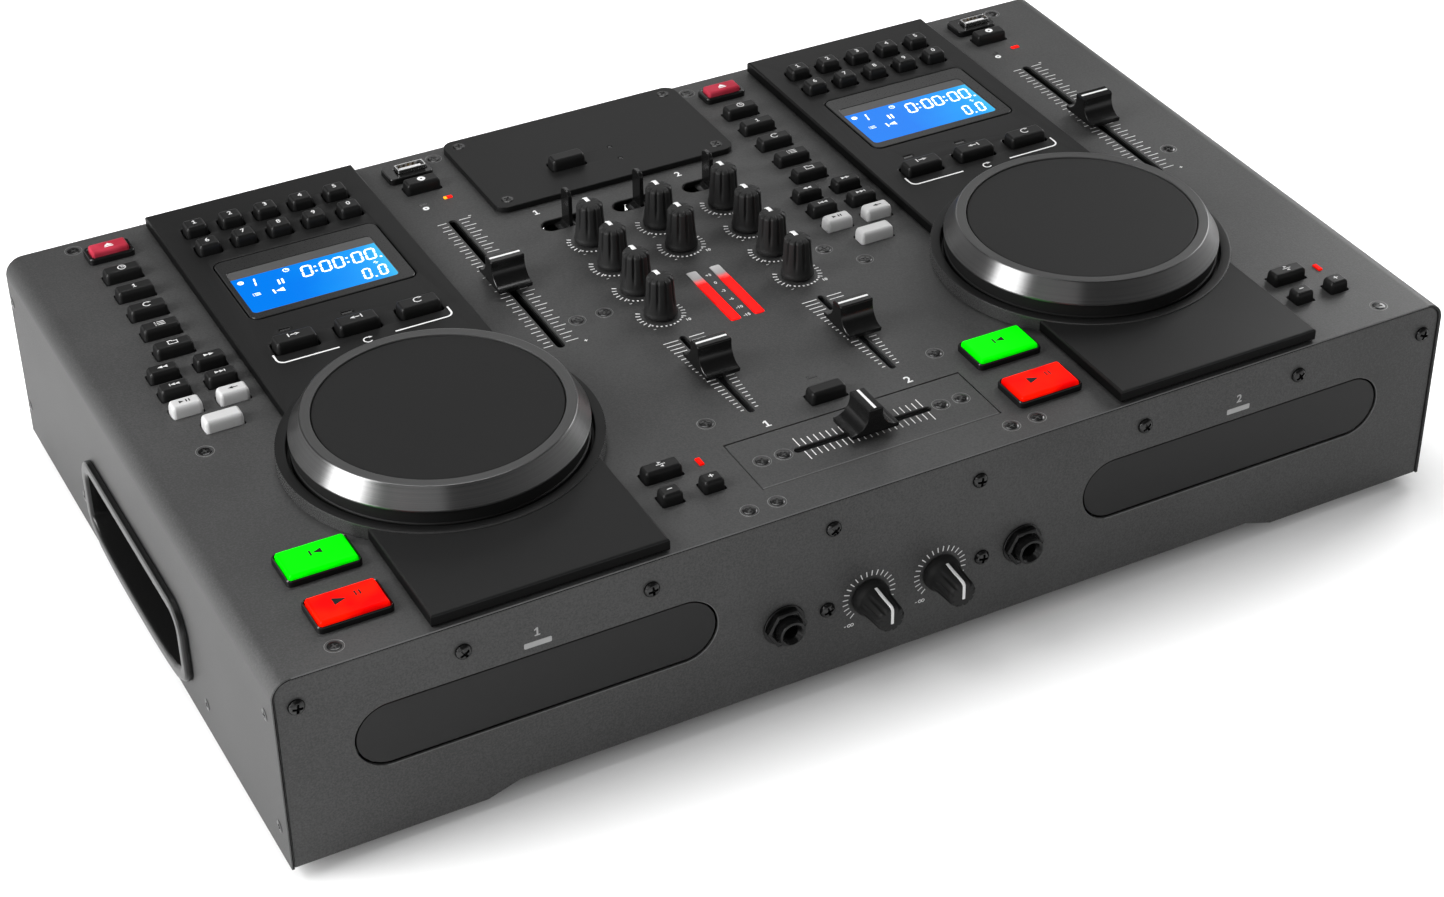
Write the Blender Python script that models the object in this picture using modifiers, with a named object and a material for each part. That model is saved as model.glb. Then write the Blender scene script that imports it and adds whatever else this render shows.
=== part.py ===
"""Twin disc player and mixer console for a disc jockey, modelled as an assembly.

Units are metres and +Z is up. Places are given in the case frame: x to the right, y to the back,
z up from the lower edge of the cover. One empty lifts that frame onto the rubber feet, so the
finished model stands on z = 0 with its box centred on the origin.
"""
import math

import bmesh
import bpy
from mathutils import Matrix

# Case and sheet metal
CASE_WIDTH = 0.545
CASE_DEPTH = 0.336
CASE_HEIGHT = 0.091
SHEET = 0.0012
BEND_RADIUS = 0.0085
GAP = 0.0003
FRONT_SETBACK = 0.003
REAR_SETBACK = 0.002
FOOT_RADIUS = 0.011
FOOT_HEIGHT = 0.007
FOOT_X = 0.225
FOOT_Y = 0.130
FOOT_CHAMFER = 0.0015
TOP = CASE_HEIGHT
INNER_TOP = CASE_HEIGHT - SHEET
FRONT_FACE = -CASE_DEPTH / 2 + FRONT_SETBACK
REAR_FACE = CASE_DEPTH / 2 - REAR_SETBACK
BASE_LOW = 0.0005

# Decks: the right deck is a copy of the left one, moved along x
DECK_X = {"left": -0.157, "right": 0.1534}
BEZEL_WIDTH = 0.1003
BEZEL_FRONT = -0.166
BEZEL_BACK = 0.164
BEZEL_HEIGHT = 0.006
BEZEL_CHAMFER = 0.001
DECK_OPENING = (0.0883, 0.134)
DECK_OPENING_CENTRE = (0.0, 0.091)

# Jog wheel
JOG_Y = -0.0588
JOG_RADIUS = 0.0614
JOG_TOP_RADIUS = 0.0564
JOG_TOP = 0.0209
PAD_RADIUS = 0.0515
PAD_SINK = 0.0004
JOG_SHOULDER = 0.0125
JOG_BOTTOM = 0.0032
JOG_WALL = 0.002
JOG_SKIN = 0.0045
JOG_SHAFT_RADIUS = 0.006
JOG_SHAFT_DEPTH = 0.006
JOG_STEPS = 48
RING_RADIUS = 0.0672
RING_HEIGHT = 0.008
RING_CHAMFER = 0.0014
WELL_RADIUS = 0.0624
WELL_FLOOR = 0.0023
BEARING_RADIUS = 0.0066

# Keys on the deck bezel, places relative to the deck centre
NUMBER_KEY = (0.0103, 0.0087)
NUMBER_KEY_TOP = 0.0106
NUMBER_PITCH = (0.0168, 0.0173)
NUMBER_FIRST = (-0.0343, 0.1406)
LOOP_KEY = (0.019, 0.009)
LOOP_KEY_X = (-0.0280, 0.0004, 0.0288)
LOOP_KEY_Y = 0.0325
WINDOW_SIZE = (0.0683, 0.0365)
WINDOW_CENTRE = (-0.0009, 0.0816)
SCREEN_TOP = 0.0052

# Keys on the cover, places relative to the deck centre
KEY_TOP = 0.0052
KEY_CHAMFER = 0.0008
KEY_TRAVEL_ROOM = 0.0003
WIDE_KEY = (0.0170, 0.0080)
PAIR_KEY = (0.0135, 0.0078)
SMALL_KEY = (0.0095, 0.0080)
COLUMN_X = -0.0729
COLUMN_Y = (0.1284, 0.1112, 0.0940, 0.0768, 0.0600)
PAIR_X = (-0.0831, -0.0626)
PAIR_Y = (0.0437, 0.0291, 0.0152)
BEND_KEY_Y = -0.0009
SOURCE_KEY = (0.0740, 0.1368)
PITCH_KEY = (0.0695, -0.1194)
MINUS_KEY = (0.0652, -0.1360)
PLUS_KEY = (0.0838, -0.1360)
CARRIER_TOP = -0.0018
CARRIER_THICKNESS = 0.0012
CARRIER_MARGIN = 0.0010
BEZEL_CARRIER_TOP = -0.0003
BEZEL_CARRIER_INSET = 0.0015
BEZEL_CARRIER_WINDOW = 0.0010

# Lit buttons in black frames, places relative to the deck centre
BIG_CAP = (0.0285, 0.0175)
BIG_FRAME = (0.0312, 0.0198)
BIG_CAP_TOP = 0.0045
CUE_PLACE = (-0.0732, -0.1077)
PLAY_PLACE = (-0.0732, -0.1397)
EJECT_CAP = (0.0170, 0.0080)
EJECT_FRAME = (0.0212, 0.0120)
EJECT_CAP_TOP = 0.0052
EJECT_PLACE = (-0.0722, 0.1496)
FRAME_HEIGHT = 0.003
FRAME_CORNER = 0.0015
USB_FRAME = (0.0220, 0.0140)
USB_FRAME_PLACE = (0.0730, 0.1520)
USB_SHELL = (0.0140, 0.0057)
USB_PLACE = (0.0745, 0.1515)
USB_WALL = 0.0004
USB_TONGUE = (0.0110, 0.0018)
USB_TONGUE_SHIFT = 0.0009
USB_TOP = 0.005
USB_CAVITY = 0.007

# Faders
CAP_WIDTH = 0.0162
CAP_DEPTH = 0.0222
CAP_TOP = 0.0148
CAP_LOW = 0.0026
CAP_RIDGE = 0.0070
CAP_LIP = 0.0018
CAP_SHOULDER = 0.0026
CAP_EDGE = 0.0004
STEM = (0.0012, 0.0050)
STEM_DEPTH = 0.0075
PITCH_SLOT_X = 0.0744
PITCH_SLOT_Y = 0.0437
PITCH_SLOT = (0.004, 0.1198)
PITCH_REST = 0.0424
CHANNEL_SLOT_X = {"left": -0.034, "right": 0.034}
CHANNEL_SLOT_Y = -0.0653
CHANNEL_SLOT = (0.0032, 0.0654)
CHANNEL_REST = {"left": -0.0608, "right": -0.0623}
CROSS_SLOT_Y = -0.1306
CROSS_SLOT = (0.0648, 0.0032)
CROSS_REST = 0.0012
CROSS_PLATE = (0.112, 0.034)
FADER_BODY_WIDTH = 0.010
FADER_BODY_DEPTH = 0.0115
FADER_BODY_EXTRA = 0.012
DECK_BOARD_TOP = -0.0144
DECK_BOARD_OUTLINE = ((-0.044, 0.026), (0.065, 0.026), (0.065, -0.024), (0.084, -0.024), (0.084, 0.158),
                      (-0.044, 0.158))
MIXER_BOARD_TOP = -0.0234
MIXER_BOARD = (0.120, 0.242)
MIXER_BOARD_Y = -0.029
BOARD_THICKNESS = 0.0016
JOIN = 0.0005

# Mixer knobs, switches and level meter
KNOB_COLUMNS = {"left": -0.034, "centre": 0.0, "right": 0.034}
KNOB_ROWS = {"level": 0.0572, "high": 0.0338, "mid": 0.0104, "low": -0.0130}
CENTRE_ROWS = {"cue_mix": 0.0558, "master": 0.0338}
KNOB_FLUTES = 10
KNOB_SECTIONS = ((0.0075, 0.0075, 0.0008), (0.0075, 0.0075, 0.0034), (0.0068, 0.0061, 0.0038),
                 (0.0059, 0.0052, 0.0188), (0.0049, 0.0046, 0.0200))
FRONT_KNOB_SECTIONS = ((0.0085, 0.0085, 0.0006), (0.0085, 0.0085, 0.0040), (0.0074, 0.0067, 0.0046),
                       (0.0064, 0.0058, 0.0172), (0.0052, 0.0049, 0.0190))
SHAFT_RADIUS = 0.002
SHAFT_DEPTH = 0.008
BUSH_RADIUS = 0.0034
BUSH_BORE = 0.0024
BUSH_HOLE = 0.0041
BUSH_TOP = 0.0003
POT_RADIUS = 0.0055
POT_TOP = 0.009
TOGGLE_X = {"left": -0.0361, "centre": 0.0, "right": 0.0361}
TOGGLE_Y = 0.0775
TOGGLE_SLOT = (0.0262, 0.010)
TOGGLE_WIDTH = 0.0082
TOGGLE_TOP = 0.017
TOGGLE_BLADE = 0.0021
TOGGLE_PIVOT = 0.020
TOGGLE_SHIELD = 0.0185
TOGGLE_SHIELD_THICKNESS = 0.0016
TOGGLE_SHIELD_REACH = 16
TOGGLE_ROUNDING = 0.0028
TOGGLE_HUB = 0.003
SWITCH_CHEEK = (0.012, 0.0012)
SWITCH_CHEEK_ROOM = 0.0006
SWITCH_CHEEK_TOP = -0.015
METER_BARS = (-0.0069, 0.0047)
METER_BAR = (0.005, 0.0438)
METER_Y = -0.0107
START_KEY = (-0.0015, -0.1019)

# Wireless module plate
MODULE_SIZE = (0.123, 0.069)
MODULE_Y = 0.1315
MODULE_HEIGHT = 0.003
MODULE_CORNER = 0.006
MODULE_KEY = (-0.0162, 0.1204)
MODULE_KEY_TOP = 0.0082
MODULE_OPENING = (0.070, 0.030)

# Front panel, disc drives and trays
TRAY_X = {"left": -0.1645, "right": 0.1645}
SLOT_Z = 0.0486
SLOT_WIDTH = 0.155
SLOT_HEIGHT = 0.030
DOOR_CLEARANCE = 0.0004
DOOR_SETBACK = 0.0023
DOOR_THICKNESS = 0.003
TRAY_WIDTH = 0.128
TRAY_LENGTH = 0.140
TRAY_TOP = 0.049
TRAY_THICKNESS = 0.005
DISH_RADIUS = 0.061
DISH_DEPTH = 0.0022
DISH_FROM_DOOR = 0.067
LASER_SLOT = (0.030, 0.058)
LASER_SHIFT = 0.014
DRIVE_WIDTH = 0.150
DRIVE_LOW = 0.030
DRIVE_HIGH = 0.068
DRIVE_FRONT = -0.1588
DRIVE_BACK = 0.035
KNOB_X = {"microphone": -0.0172, "cue": 0.0168}
FRONT_ROW_Z = 0.036
JACK_X = {"microphone": -0.057, "headphone": 0.057}
JACK_BORE = 0.00325
JACK_BARREL = 0.005
JACK_REACH = 0.008
JACK_NUT = 0.0078
JACK_NUT_THICKNESS = 0.003
JACK_BODY = (0.015, 0.026)
JACK_FLOOR = -0.023
FRONT_BOARD_DEPTH = 0.014
FRONT_BOARD = (0.132, 0.020)
PANEL_ARCH_WIDTH = 0.352
PANEL_ARCH = 0.0045
PANEL_ARCH_SLOPE = 0.014

# Side handles, seen along x: centre, mouth size and the bow of the lower edge
HANDLE_Y = 0.003
HANDLE_MOUTH = 0.1165
HANDLE_TOP = 0.0436
HANDLE_ENDS = 0.0184
HANDLE_BOW = 0.0075
HANDLE_CORNER = 0.007
HANDLE_RIM = 0.0066
HANDLE_PROUD = 0.003
HANDLE_DEPTH = 0.030
HANDLE_WALL = 0.0022

# Rear panel
RCA_GROUPS = (0.105, 0.140, 0.190, 0.225)
RCA_ROWS = (0.030, 0.052)
RCA_RADIUS = 0.0041
RCA_BORE = 0.0016
RCA_REACH = 0.010
RCA_HOLE = 0.0046
RCA_HOUSING = (0.012, 0.034)
LINE_BOARD_DEPTH = 0.009
LINE_BOARD_MARGIN = 0.008
LINE_BOARD_HEIGHT = 0.040
GROUND_POST = (0.165, 0.030)
POST_REACH = 0.008
INLET_X = -0.205
INLET_Z = 0.040
INLET_FLANGE = (0.060, 0.032)
INLET_BODY = (0.050, 0.027)
INLET_DEPTH = 0.026
INLET_PROUD = 0.003
INLET_CAVITY = (0.0244, 0.0168)
INLET_CAVITY_DEPTH = 0.016
INLET_CAVITY_X = -0.0115
PIN_SIZE = (0.002, 0.004)
PIN_PLACES = ((-0.007, 0.002), (0.007, 0.002), (0.0, -0.003))
ROCKER_X = 0.0135
ROCKER_WIDTH = 0.012
ROCKER_HEIGHT = 0.019
ROCKER_TILT = 8.0
ROCKER_PROUD = 0.0034
ROCKER_DIP = 0.0018
ROCKER_WELL = (0.013, 0.021)
ROCKER_WELL_DEPTH = 0.013
VENT_SLOT = (0.004, 0.030)
VENT_PITCH = 0.012
VENT_COUNT = 9
VENT_START = -0.048
VENT_Z = 0.045
BASE_VENTS = 6
BASE_VENT_Y = 0.085

# Power supply on the base: board, transformer and heat sink as x, y and top
SUPPLY_BOARD = ((-0.060, 0.060), (0.055, 0.140), 0.006)
TRANSFORMER = ((-0.050, 0.000), (0.075, 0.120), 0.045)
HEAT_SINK = ((0.020, 0.050), (0.070, 0.076), 0.035)

MATERIALS = {
    "cover_paint": ((0.062, 0.062, 0.066), 0.55, 0.3),
    "panel_paint": ((0.050, 0.050, 0.054), 0.50, 0.3),
    "black_plastic": ((0.018, 0.018, 0.020), 0.42, 0.0),
    "key_black": ((0.012, 0.012, 0.013), 0.38, 0.0),
    "cue_green": ((0.0, 0.85, 0.02), 0.35, 0.0),
    "play_red": ((0.90, 0.01, 0.0), 0.35, 0.0),
    "eject_red": ((0.60, 0.03, 0.05), 0.40, 0.0),
    "jog_metal": ((0.16, 0.16, 0.17), 0.30, 0.9),
    "bright_metal": ((0.70, 0.70, 0.72), 0.25, 1.0),
    "board_green": ((0.02, 0.14, 0.05), 0.50, 0.0),
}


def clear_scene():
    """Remove every object and collection so that the script can be run again."""
    for item in list(bpy.data.objects):
        bpy.data.objects.remove(item)
    for item in list(bpy.data.collections):
        bpy.data.collections.remove(item)


def new_collection(name):
    collection = bpy.data.collections.new(name)
    bpy.context.scene.collection.children.link(collection)
    return collection


clear_scene()
parts = new_collection("twin_disc_console")
cutters = new_collection("cutters")
root = bpy.data.objects.new("console_frame", None)
parts.objects.link(root)
FRONT_REACH = -FRONT_FACE + FRONT_KNOB_SECTIONS[-1][2]
REAR_REACH = REAR_FACE + RCA_REACH
root.location = (0, (FRONT_REACH - REAR_REACH) / 2, FOOT_HEIGHT)


def get_material(name):
    """Return the named Principled material, made on first use."""
    found = bpy.data.materials.get(name)
    if found:
        return found
    colour, roughness, metallic = MATERIALS[name]
    made = bpy.data.materials.new(name)
    made.use_nodes = True
    shader = made.node_tree.nodes["Principled BSDF"]
    shader.inputs["Base Color"].default_value = (*colour, 1)
    shader.inputs["Roughness"].default_value = roughness
    shader.inputs["Metallic"].default_value = metallic
    made.diffuse_color = (*colour, 1)
    return made


def place(name, mesh, material, location=(0, 0, 0), smooth=False):
    """Add a named part to the console; its origin is the given place in the case frame."""
    mesh.name = name
    mesh.materials.clear()
    mesh.materials.append(get_material(material))
    part = bpy.data.objects.new(name, mesh)
    parts.objects.link(part)
    part.parent = root
    part.location = location
    if smooth:
        mesh.shade_smooth()
        mesh.set_sharp_from_angle(angle=math.radians(35))
    return part


def combine(part, mesh, operation="DIFFERENCE"):
    """Cut the mesh from the part, or join it on, with a Boolean modifier; same frame as the part."""
    cutter = bpy.data.objects.new("cutter_" + part.name, mesh)
    cutters.objects.link(cutter)
    cutter.parent = part.parent
    cutter.location = part.location
    cutter.hide_render = True
    cutter.display_type = "WIRE"
    boolean = part.modifiers.new(operation.title(), "BOOLEAN")
    boolean.operation = operation
    boolean.object = cutter


def baked(temporary):
    """Return the evaluated mesh of a temporary object in its own place, and remove the object."""
    parts.objects.link(temporary)
    bpy.context.view_layer.update()
    graph = bpy.context.evaluated_depsgraph_get()
    mesh = bpy.data.meshes.new_from_object(temporary.evaluated_get(graph), depsgraph=graph)
    mesh.transform(temporary.matrix_world)
    bpy.data.objects.remove(temporary)
    return mesh


def tidy(mesh):
    """Weld the caps of an evaluated shape and turn its faces outwards."""
    bm = bmesh.new()
    bm.from_mesh(mesh)
    bmesh.ops.remove_doubles(bm, verts=bm.verts, dist=1e-6)
    bmesh.ops.recalc_face_normals(bm, faces=bm.faces)
    bm.to_mesh(mesh)
    bm.free()
    return mesh


def joined(meshes):
    """Put several separate closed shapes into one mesh."""
    bm = bmesh.new()
    for mesh in meshes:
        bm.from_mesh(mesh)
    whole = bpy.data.meshes.new("joined")
    bm.to_mesh(whole)
    bm.free()
    return whole


def moved(mesh, x=0.0, y=0.0, z=0.0, turn=None):
    """Return a copy of the mesh, turned by a matrix if one is given and then moved."""
    copy = mesh.copy()
    if turn:
        copy.transform(turn)
    copy.transform(Matrix.Translation((x, y, z)))
    return copy


def box(x_range, y_range, z_range):
    """A box from three (low, high) pairs."""
    bm = bmesh.new()
    size = [pair[1] - pair[0] for pair in (x_range, y_range, z_range)]
    centre = [(pair[1] + pair[0]) / 2 for pair in (x_range, y_range, z_range)]
    bmesh.ops.create_cube(bm, size=1, matrix=Matrix.Translation(centre) @ Matrix.Diagonal((*size, 1)))
    mesh = bpy.data.meshes.new("box")
    bm.to_mesh(mesh)
    bm.free()
    return mesh


def column(centre, size, z_range):
    """An upright box from its centre, its size in x and y, and a z range."""
    x, y = centre
    return box((x - size[0] / 2, x + size[0] / 2), (y - size[1] / 2, y + size[1] / 2), z_range)


def key(centre, size, z_range, chamfer=KEY_CHAMFER):
    """A key: an upright box whose top edges are chamfered."""
    mesh = column(centre, size, z_range)
    bm = bmesh.new()
    bm.from_mesh(mesh)
    level = z_range[1] - chamfer / 2
    edges = [edge for edge in bm.edges if all(vert.co.z > level for vert in edge.verts)]
    bmesh.ops.bevel(bm, geom=edges, offset=chamfer, segments=1, affect="EDGES", profile=0.5)
    bm.to_mesh(mesh)
    bm.free()
    return mesh


def cylinder(centre, radius, z_range, sides):
    """An upright cylinder from its centre in x and y and a z range."""
    bm = bmesh.new()
    middle = Matrix.Translation((centre[0], centre[1], (z_range[0] + z_range[1]) / 2))
    bmesh.ops.create_cone(bm, cap_ends=True, segments=sides, radius1=radius, radius2=radius,
                          depth=z_range[1] - z_range[0], matrix=middle)
    mesh = bpy.data.meshes.new("cylinder")
    bm.to_mesh(mesh)
    bm.free()
    return mesh


def turned(profile, steps, closed=False):
    """A turned shape: (radius, height) points down the outer side, spun about z by a Screw."""
    count = len(profile)
    edges = [(i, i + 1) for i in range(count - 1)]
    if closed:
        edges.append((count - 1, 0))
    mesh = bpy.data.meshes.new("profile")
    mesh.from_pydata([(radius, 0, height) for radius, height in profile], edges, [])
    spun = bpy.data.objects.new("profile", mesh)
    screw = spun.modifiers.new("Screw", "SCREW")
    screw.steps = steps
    screw.render_steps = steps
    screw.use_merge_vertices = True
    screw.merge_threshold = 0.00001
    return tidy(baked(spun))


def plate(outlines, span, plane="XY"):
    """A flat plate from a 2D curve: the first outline is its edge and the rest are its holes.

    The span is its (low, high) along the axis that the plane leaves out.
    """
    curve = bpy.data.curves.new("outline", "CURVE")
    curve.dimensions = "2D"
    curve.fill_mode = "BOTH"
    curve.extrude = (span[1] - span[0]) / 2
    for points in outlines:
        spline = curve.splines.new("POLY")
        spline.points.add(len(points) - 1)
        spline.use_cyclic_u = True
        for point, (u, v) in zip(spline.points, points):
            point.co = (u, v, 0, 1)
    flat = bpy.data.objects.new("outline", curve)
    middle = (span[0] + span[1]) / 2
    if plane == "XZ":
        flat.matrix_world = Matrix.Translation((0, middle, 0)) @ Matrix.Rotation(math.pi / 2, 4, "X")
    elif plane == "YZ":
        turn = Matrix(((0, 0, 1, 0), (1, 0, 0, 0), (0, 1, 0, 0), (0, 0, 0, 1)))
        flat.matrix_world = Matrix.Translation((middle, 0, 0)) @ turn
    else:
        flat.matrix_world = Matrix.Translation((0, 0, middle))
    return tidy(baked(flat))


def arc(centre, radius, start, end, steps):
    """Points on an arc, from the start angle to the end angle in degrees."""
    points = []
    for i in range(steps + 1):
        angle = math.radians(start + (end - start) * i / steps)
        points.append((centre[0] + radius * math.cos(angle), centre[1] + radius * math.sin(angle)))
    return points


def rectangle(centre, size, corner=0.0, steps=2):
    """A rectangle's outline, anticlockwise, with round corners if a corner radius is given."""
    x, y = centre
    half_x = size[0] / 2 - corner
    half_y = size[1] / 2 - corner
    if corner == 0.0:
        low = y - half_y
        high = y + half_y
        return [(x - half_x, low), (x + half_x, low), (x + half_x, high), (x - half_x, high)]
    points = arc((x + half_x, y - half_y), corner, -90, 0, steps)
    points += arc((x + half_x, y + half_y), corner, 0, 90, steps)
    points += arc((x - half_x, y + half_y), corner, 90, 180, steps)
    points += arc((x - half_x, y - half_y), corner, 180, 270, steps)
    return points


def stadium(centre, size, steps=5):
    """A slot's outline with half-round ends along its longer side."""
    x, y = centre
    width, depth = size
    radius = min(width, depth) / 2
    if width > depth:
        reach = width / 2 - radius
        return arc((x + reach, y), radius, -90, 90, steps) + arc((x - reach, y), radius, 90, 270, steps)
    reach = depth / 2 - radius
    return arc((x, y + reach), radius, 0, 180, steps) + arc((x, y - reach), radius, 180, 360, steps)


def circle(centre, radius, sides):
    """A circle's outline."""
    return arc(centre, radius, 0, 360, sides)[:-1]


def grown(size, by):
    return (size[0] + by, size[1] + by)


def at_deck(side, point):
    """A deck place in the case frame."""
    return (DECK_X[side] + point[0], point[1])


def side_handle_outline(grow):
    """The handle's mouth seen along x, grown by a margin: round top corners and a bowed lower edge."""
    half = HANDLE_MOUTH / 2 + grow
    top = HANDLE_TOP + grow
    corner = HANDLE_CORNER + grow
    points = []
    bow_steps = 8
    for i in range(bow_steps + 1):
        along = 2 * i / bow_steps - 1
        points.append((HANDLE_Y + half * along, HANDLE_ENDS - grow - HANDLE_BOW * (1 - along * along)))
    points += arc((HANDLE_Y + half - corner, top - corner), corner, 0, 90, 3)
    points += arc((HANDLE_Y - half + corner, top - corner), corner, 90, 180, 3)
    return points


def column_key_places():
    """The keys of the column beside a deck's bezel: (place, size) pairs."""
    keys = [((COLUMN_X, y), WIDE_KEY) for y in COLUMN_Y]
    keys += [((x, y), PAIR_KEY) for y in PAIR_Y for x in PAIR_X]
    keys.append(((COLUMN_X, BEND_KEY_Y), WIDE_KEY))
    return keys


def pitch_key_places():
    """The three keys in front of a deck's pitch fader: (place, size) pairs."""
    return [(PITCH_KEY, WIDE_KEY), (MINUS_KEY, SMALL_KEY), (PLUS_KEY, SMALL_KEY)]


def bezel_key_places():
    """The number and loop keys that stand through the deck bezel: (place, size) pairs."""
    keys = []
    for row in range(2):
        for number in range(5):
            x = NUMBER_FIRST[0] + number * NUMBER_PITCH[0]
            y = NUMBER_FIRST[1] - row * NUMBER_PITCH[1]
            keys.append(((x, y), NUMBER_KEY))
    keys += [((x, LOOP_KEY_Y), LOOP_KEY) for x in LOOP_KEY_X]
    return keys


def knob_places():
    """The ten mixer knobs: name and place."""
    places = {}
    for side in ("left", "right"):
        for row, y in KNOB_ROWS.items():
            places[row + "_knob_" + side] = (KNOB_COLUMNS[side], y)
    for row, y in CENTRE_ROWS.items():
        places[row + "_knob"] = (KNOB_COLUMNS["centre"], y)
    return places


def cover_cutter():
    """Everything that is cut through the top and the sides of the cover."""
    through = (INNER_TOP - 0.002, TOP + FRAME_HEIGHT + 0.002)
    room = 2 * KEY_TRAVEL_ROOM
    cuts = []
    for side in DECK_X:
        for spot, size in column_key_places() + pitch_key_places() + [(SOURCE_KEY, WIDE_KEY)]:
            cuts.append(column(at_deck(side, spot), grown(size, room), through))
        for spot, size in ((CUE_PLACE, BIG_CAP), (PLAY_PLACE, BIG_CAP), (EJECT_PLACE, EJECT_CAP)):
            cuts.append(column(at_deck(side, spot), grown(size, room), through))
        cuts.append(column(at_deck(side, USB_PLACE), grown(USB_SHELL, 2 * GAP), through))
        cuts.append(plate([stadium(at_deck(side, (PITCH_SLOT_X, PITCH_SLOT_Y)), PITCH_SLOT, 4)], through))
        cuts.append(column(at_deck(side, DECK_OPENING_CENTRE), DECK_OPENING, through))
        cuts.append(cylinder(at_deck(side, (0, JOG_Y)), JOG_SHAFT_RADIUS + 0.002, through, 16))
        cuts.append(plate([stadium((CHANNEL_SLOT_X[side], CHANNEL_SLOT_Y), CHANNEL_SLOT, 4)], through))
    for x, y in knob_places().values():
        cuts.append(cylinder((x, y), BUSH_HOLE, through, 8))
    for x in TOGGLE_X.values():
        cuts.append(plate([stadium((x, TOGGLE_Y), TOGGLE_SLOT)], through))
    for x in METER_BARS:
        cuts.append(column((x, METER_Y), grown(METER_BAR, 2 * GAP), through))
    cuts.append(column(START_KEY, grown(WIDE_KEY, room), through))
    cuts.append(column((0, CROSS_SLOT_Y), grown(CROSS_PLATE, 2 * GAP), through))
    cuts.append(column((0, MODULE_KEY[1]), MODULE_OPENING, through))
    for direction in (-1, 1):
        middle = direction * (CASE_WIDTH / 2 - SHEET / 2)
        mouth = side_handle_outline(HANDLE_WALL + GAP)
        cuts.append(plate([mouth], (middle - 0.003, middle + 0.003), "YZ"))
    return joined(cuts)


def control_frames():
    """Raised frames on the cover round the cue, play and eject buttons and the memory sockets."""
    rows = ((CUE_PLACE, BIG_FRAME), (PLAY_PLACE, BIG_FRAME), (EJECT_PLACE, EJECT_FRAME),
            (USB_FRAME_PLACE, USB_FRAME))
    frames = []
    for side in DECK_X:
        for spot, size in rows:
            edge = rectangle(at_deck(side, spot), size, FRAME_CORNER)
            frames.append(plate([edge], (TOP - JOIN, TOP + FRAME_HEIGHT)))
    return joined(frames)


def top_cover():
    """Folded sheet: the top and both sides with round bends, the button frames and every opening."""
    half = CASE_WIDTH / 2
    bend = half - BEND_RADIUS
    profile = [(half, 0.0)]
    profile += arc((bend, TOP - BEND_RADIUS), BEND_RADIUS, 0, 90, 6)
    profile += arc((-bend, TOP - BEND_RADIUS), BEND_RADIUS, 90, 180, 6)
    profile.append((-half, 0.0))
    bm = bmesh.new()
    front = [bm.verts.new((x, -CASE_DEPTH / 2, z)) for x, z in profile]
    edges = [bm.edges.new(pair) for pair in zip(front, front[1:])]
    swept = bmesh.ops.extrude_edge_only(bm, edges=edges)["geom"]
    back = [item for item in swept if isinstance(item, bmesh.types.BMVert)]
    bmesh.ops.translate(bm, verts=back, vec=(0, CASE_DEPTH, 0))
    bmesh.ops.recalc_face_normals(bm, faces=bm.faces)
    if sum(face.normal.z for face in bm.faces) < 0:
        bmesh.ops.reverse_faces(bm, faces=bm.faces)
    mesh = bpy.data.meshes.new("cover")
    bm.to_mesh(mesh)
    bm.free()
    cover = place("top_cover", mesh, "cover_paint")
    solidify = cover.modifiers.new("Solidify", "SOLIDIFY")
    solidify.thickness = SHEET
    solidify.offset = -1
    solidify.use_even_offset = True
    combine(cover, control_frames(), "UNION")
    combine(cover, cover_cutter())


def end_panel_outline(arch):
    """Outline of a front or rear panel inside the cover, with a shallow arch in its lower edge."""
    half = CASE_WIDTH / 2 - SHEET - GAP
    corner = BEND_RADIUS - SHEET - GAP
    high = INNER_TOP - GAP
    points = [(-half, 0.0)]
    if arch:
        reach = PANEL_ARCH_WIDTH / 2
        points += [(-reach - PANEL_ARCH_SLOPE, 0.0), (-reach, PANEL_ARCH)]
        points += [(reach, PANEL_ARCH), (reach + PANEL_ARCH_SLOPE, 0.0)]
    points.append((half, 0.0))
    points += arc((half - corner, high - corner), corner, 0, 90, 4)
    points += arc((corner - half, high - corner), corner, 90, 180, 4)
    return points


def front_panel():
    """Front panel with the two disc slots and the holes for jacks and knob shafts."""
    outlines = [end_panel_outline(arch=True)]
    outlines += [stadium((x, SLOT_Z), (SLOT_WIDTH, SLOT_HEIGHT), 10) for x in TRAY_X.values()]
    outlines += [circle((x, FRONT_ROW_Z), JACK_BARREL + GAP, 16) for x in JACK_X.values()]
    outlines += [circle((x, FRONT_ROW_Z), BUSH_HOLE, 8) for x in KNOB_X.values()]
    place("front_panel", plate(outlines, (FRONT_FACE, FRONT_FACE + SHEET), "XZ"), "panel_paint")


def rear_panel():
    """Rear panel with its ground post, holes for the sockets and the inlet, and a row of air slots."""
    outline = end_panel_outline(arch=False)
    panel = place("rear_panel", plate([outline], (REAR_FACE - SHEET, REAR_FACE), "XZ"), "panel_paint")
    through = (REAR_FACE - SHEET - 0.002, REAR_FACE + 0.002)
    cuts = [plate([circle((x, z), RCA_HOLE, 12)], through, "XZ") for x in RCA_GROUPS for z in RCA_ROWS]
    cuts.append(plate([rectangle((INLET_X, INLET_Z), grown(INLET_BODY, 2 * GAP))], through, "XZ"))
    for step in range(VENT_COUNT):
        cuts.append(plate([rectangle((VENT_START + step * VENT_PITCH, VENT_Z), VENT_SLOT)], through, "XZ"))
    combine(panel, joined(cuts))
    post = cylinder((0, 0), RCA_RADIUS, (-JOIN, POST_REACH), 12)
    facing_back = Matrix.Rotation(-math.pi / 2, 4, "X")
    combine(panel, moved(post, GROUND_POST[0], REAR_FACE, GROUND_POST[1], facing_back), "UNION")


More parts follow.
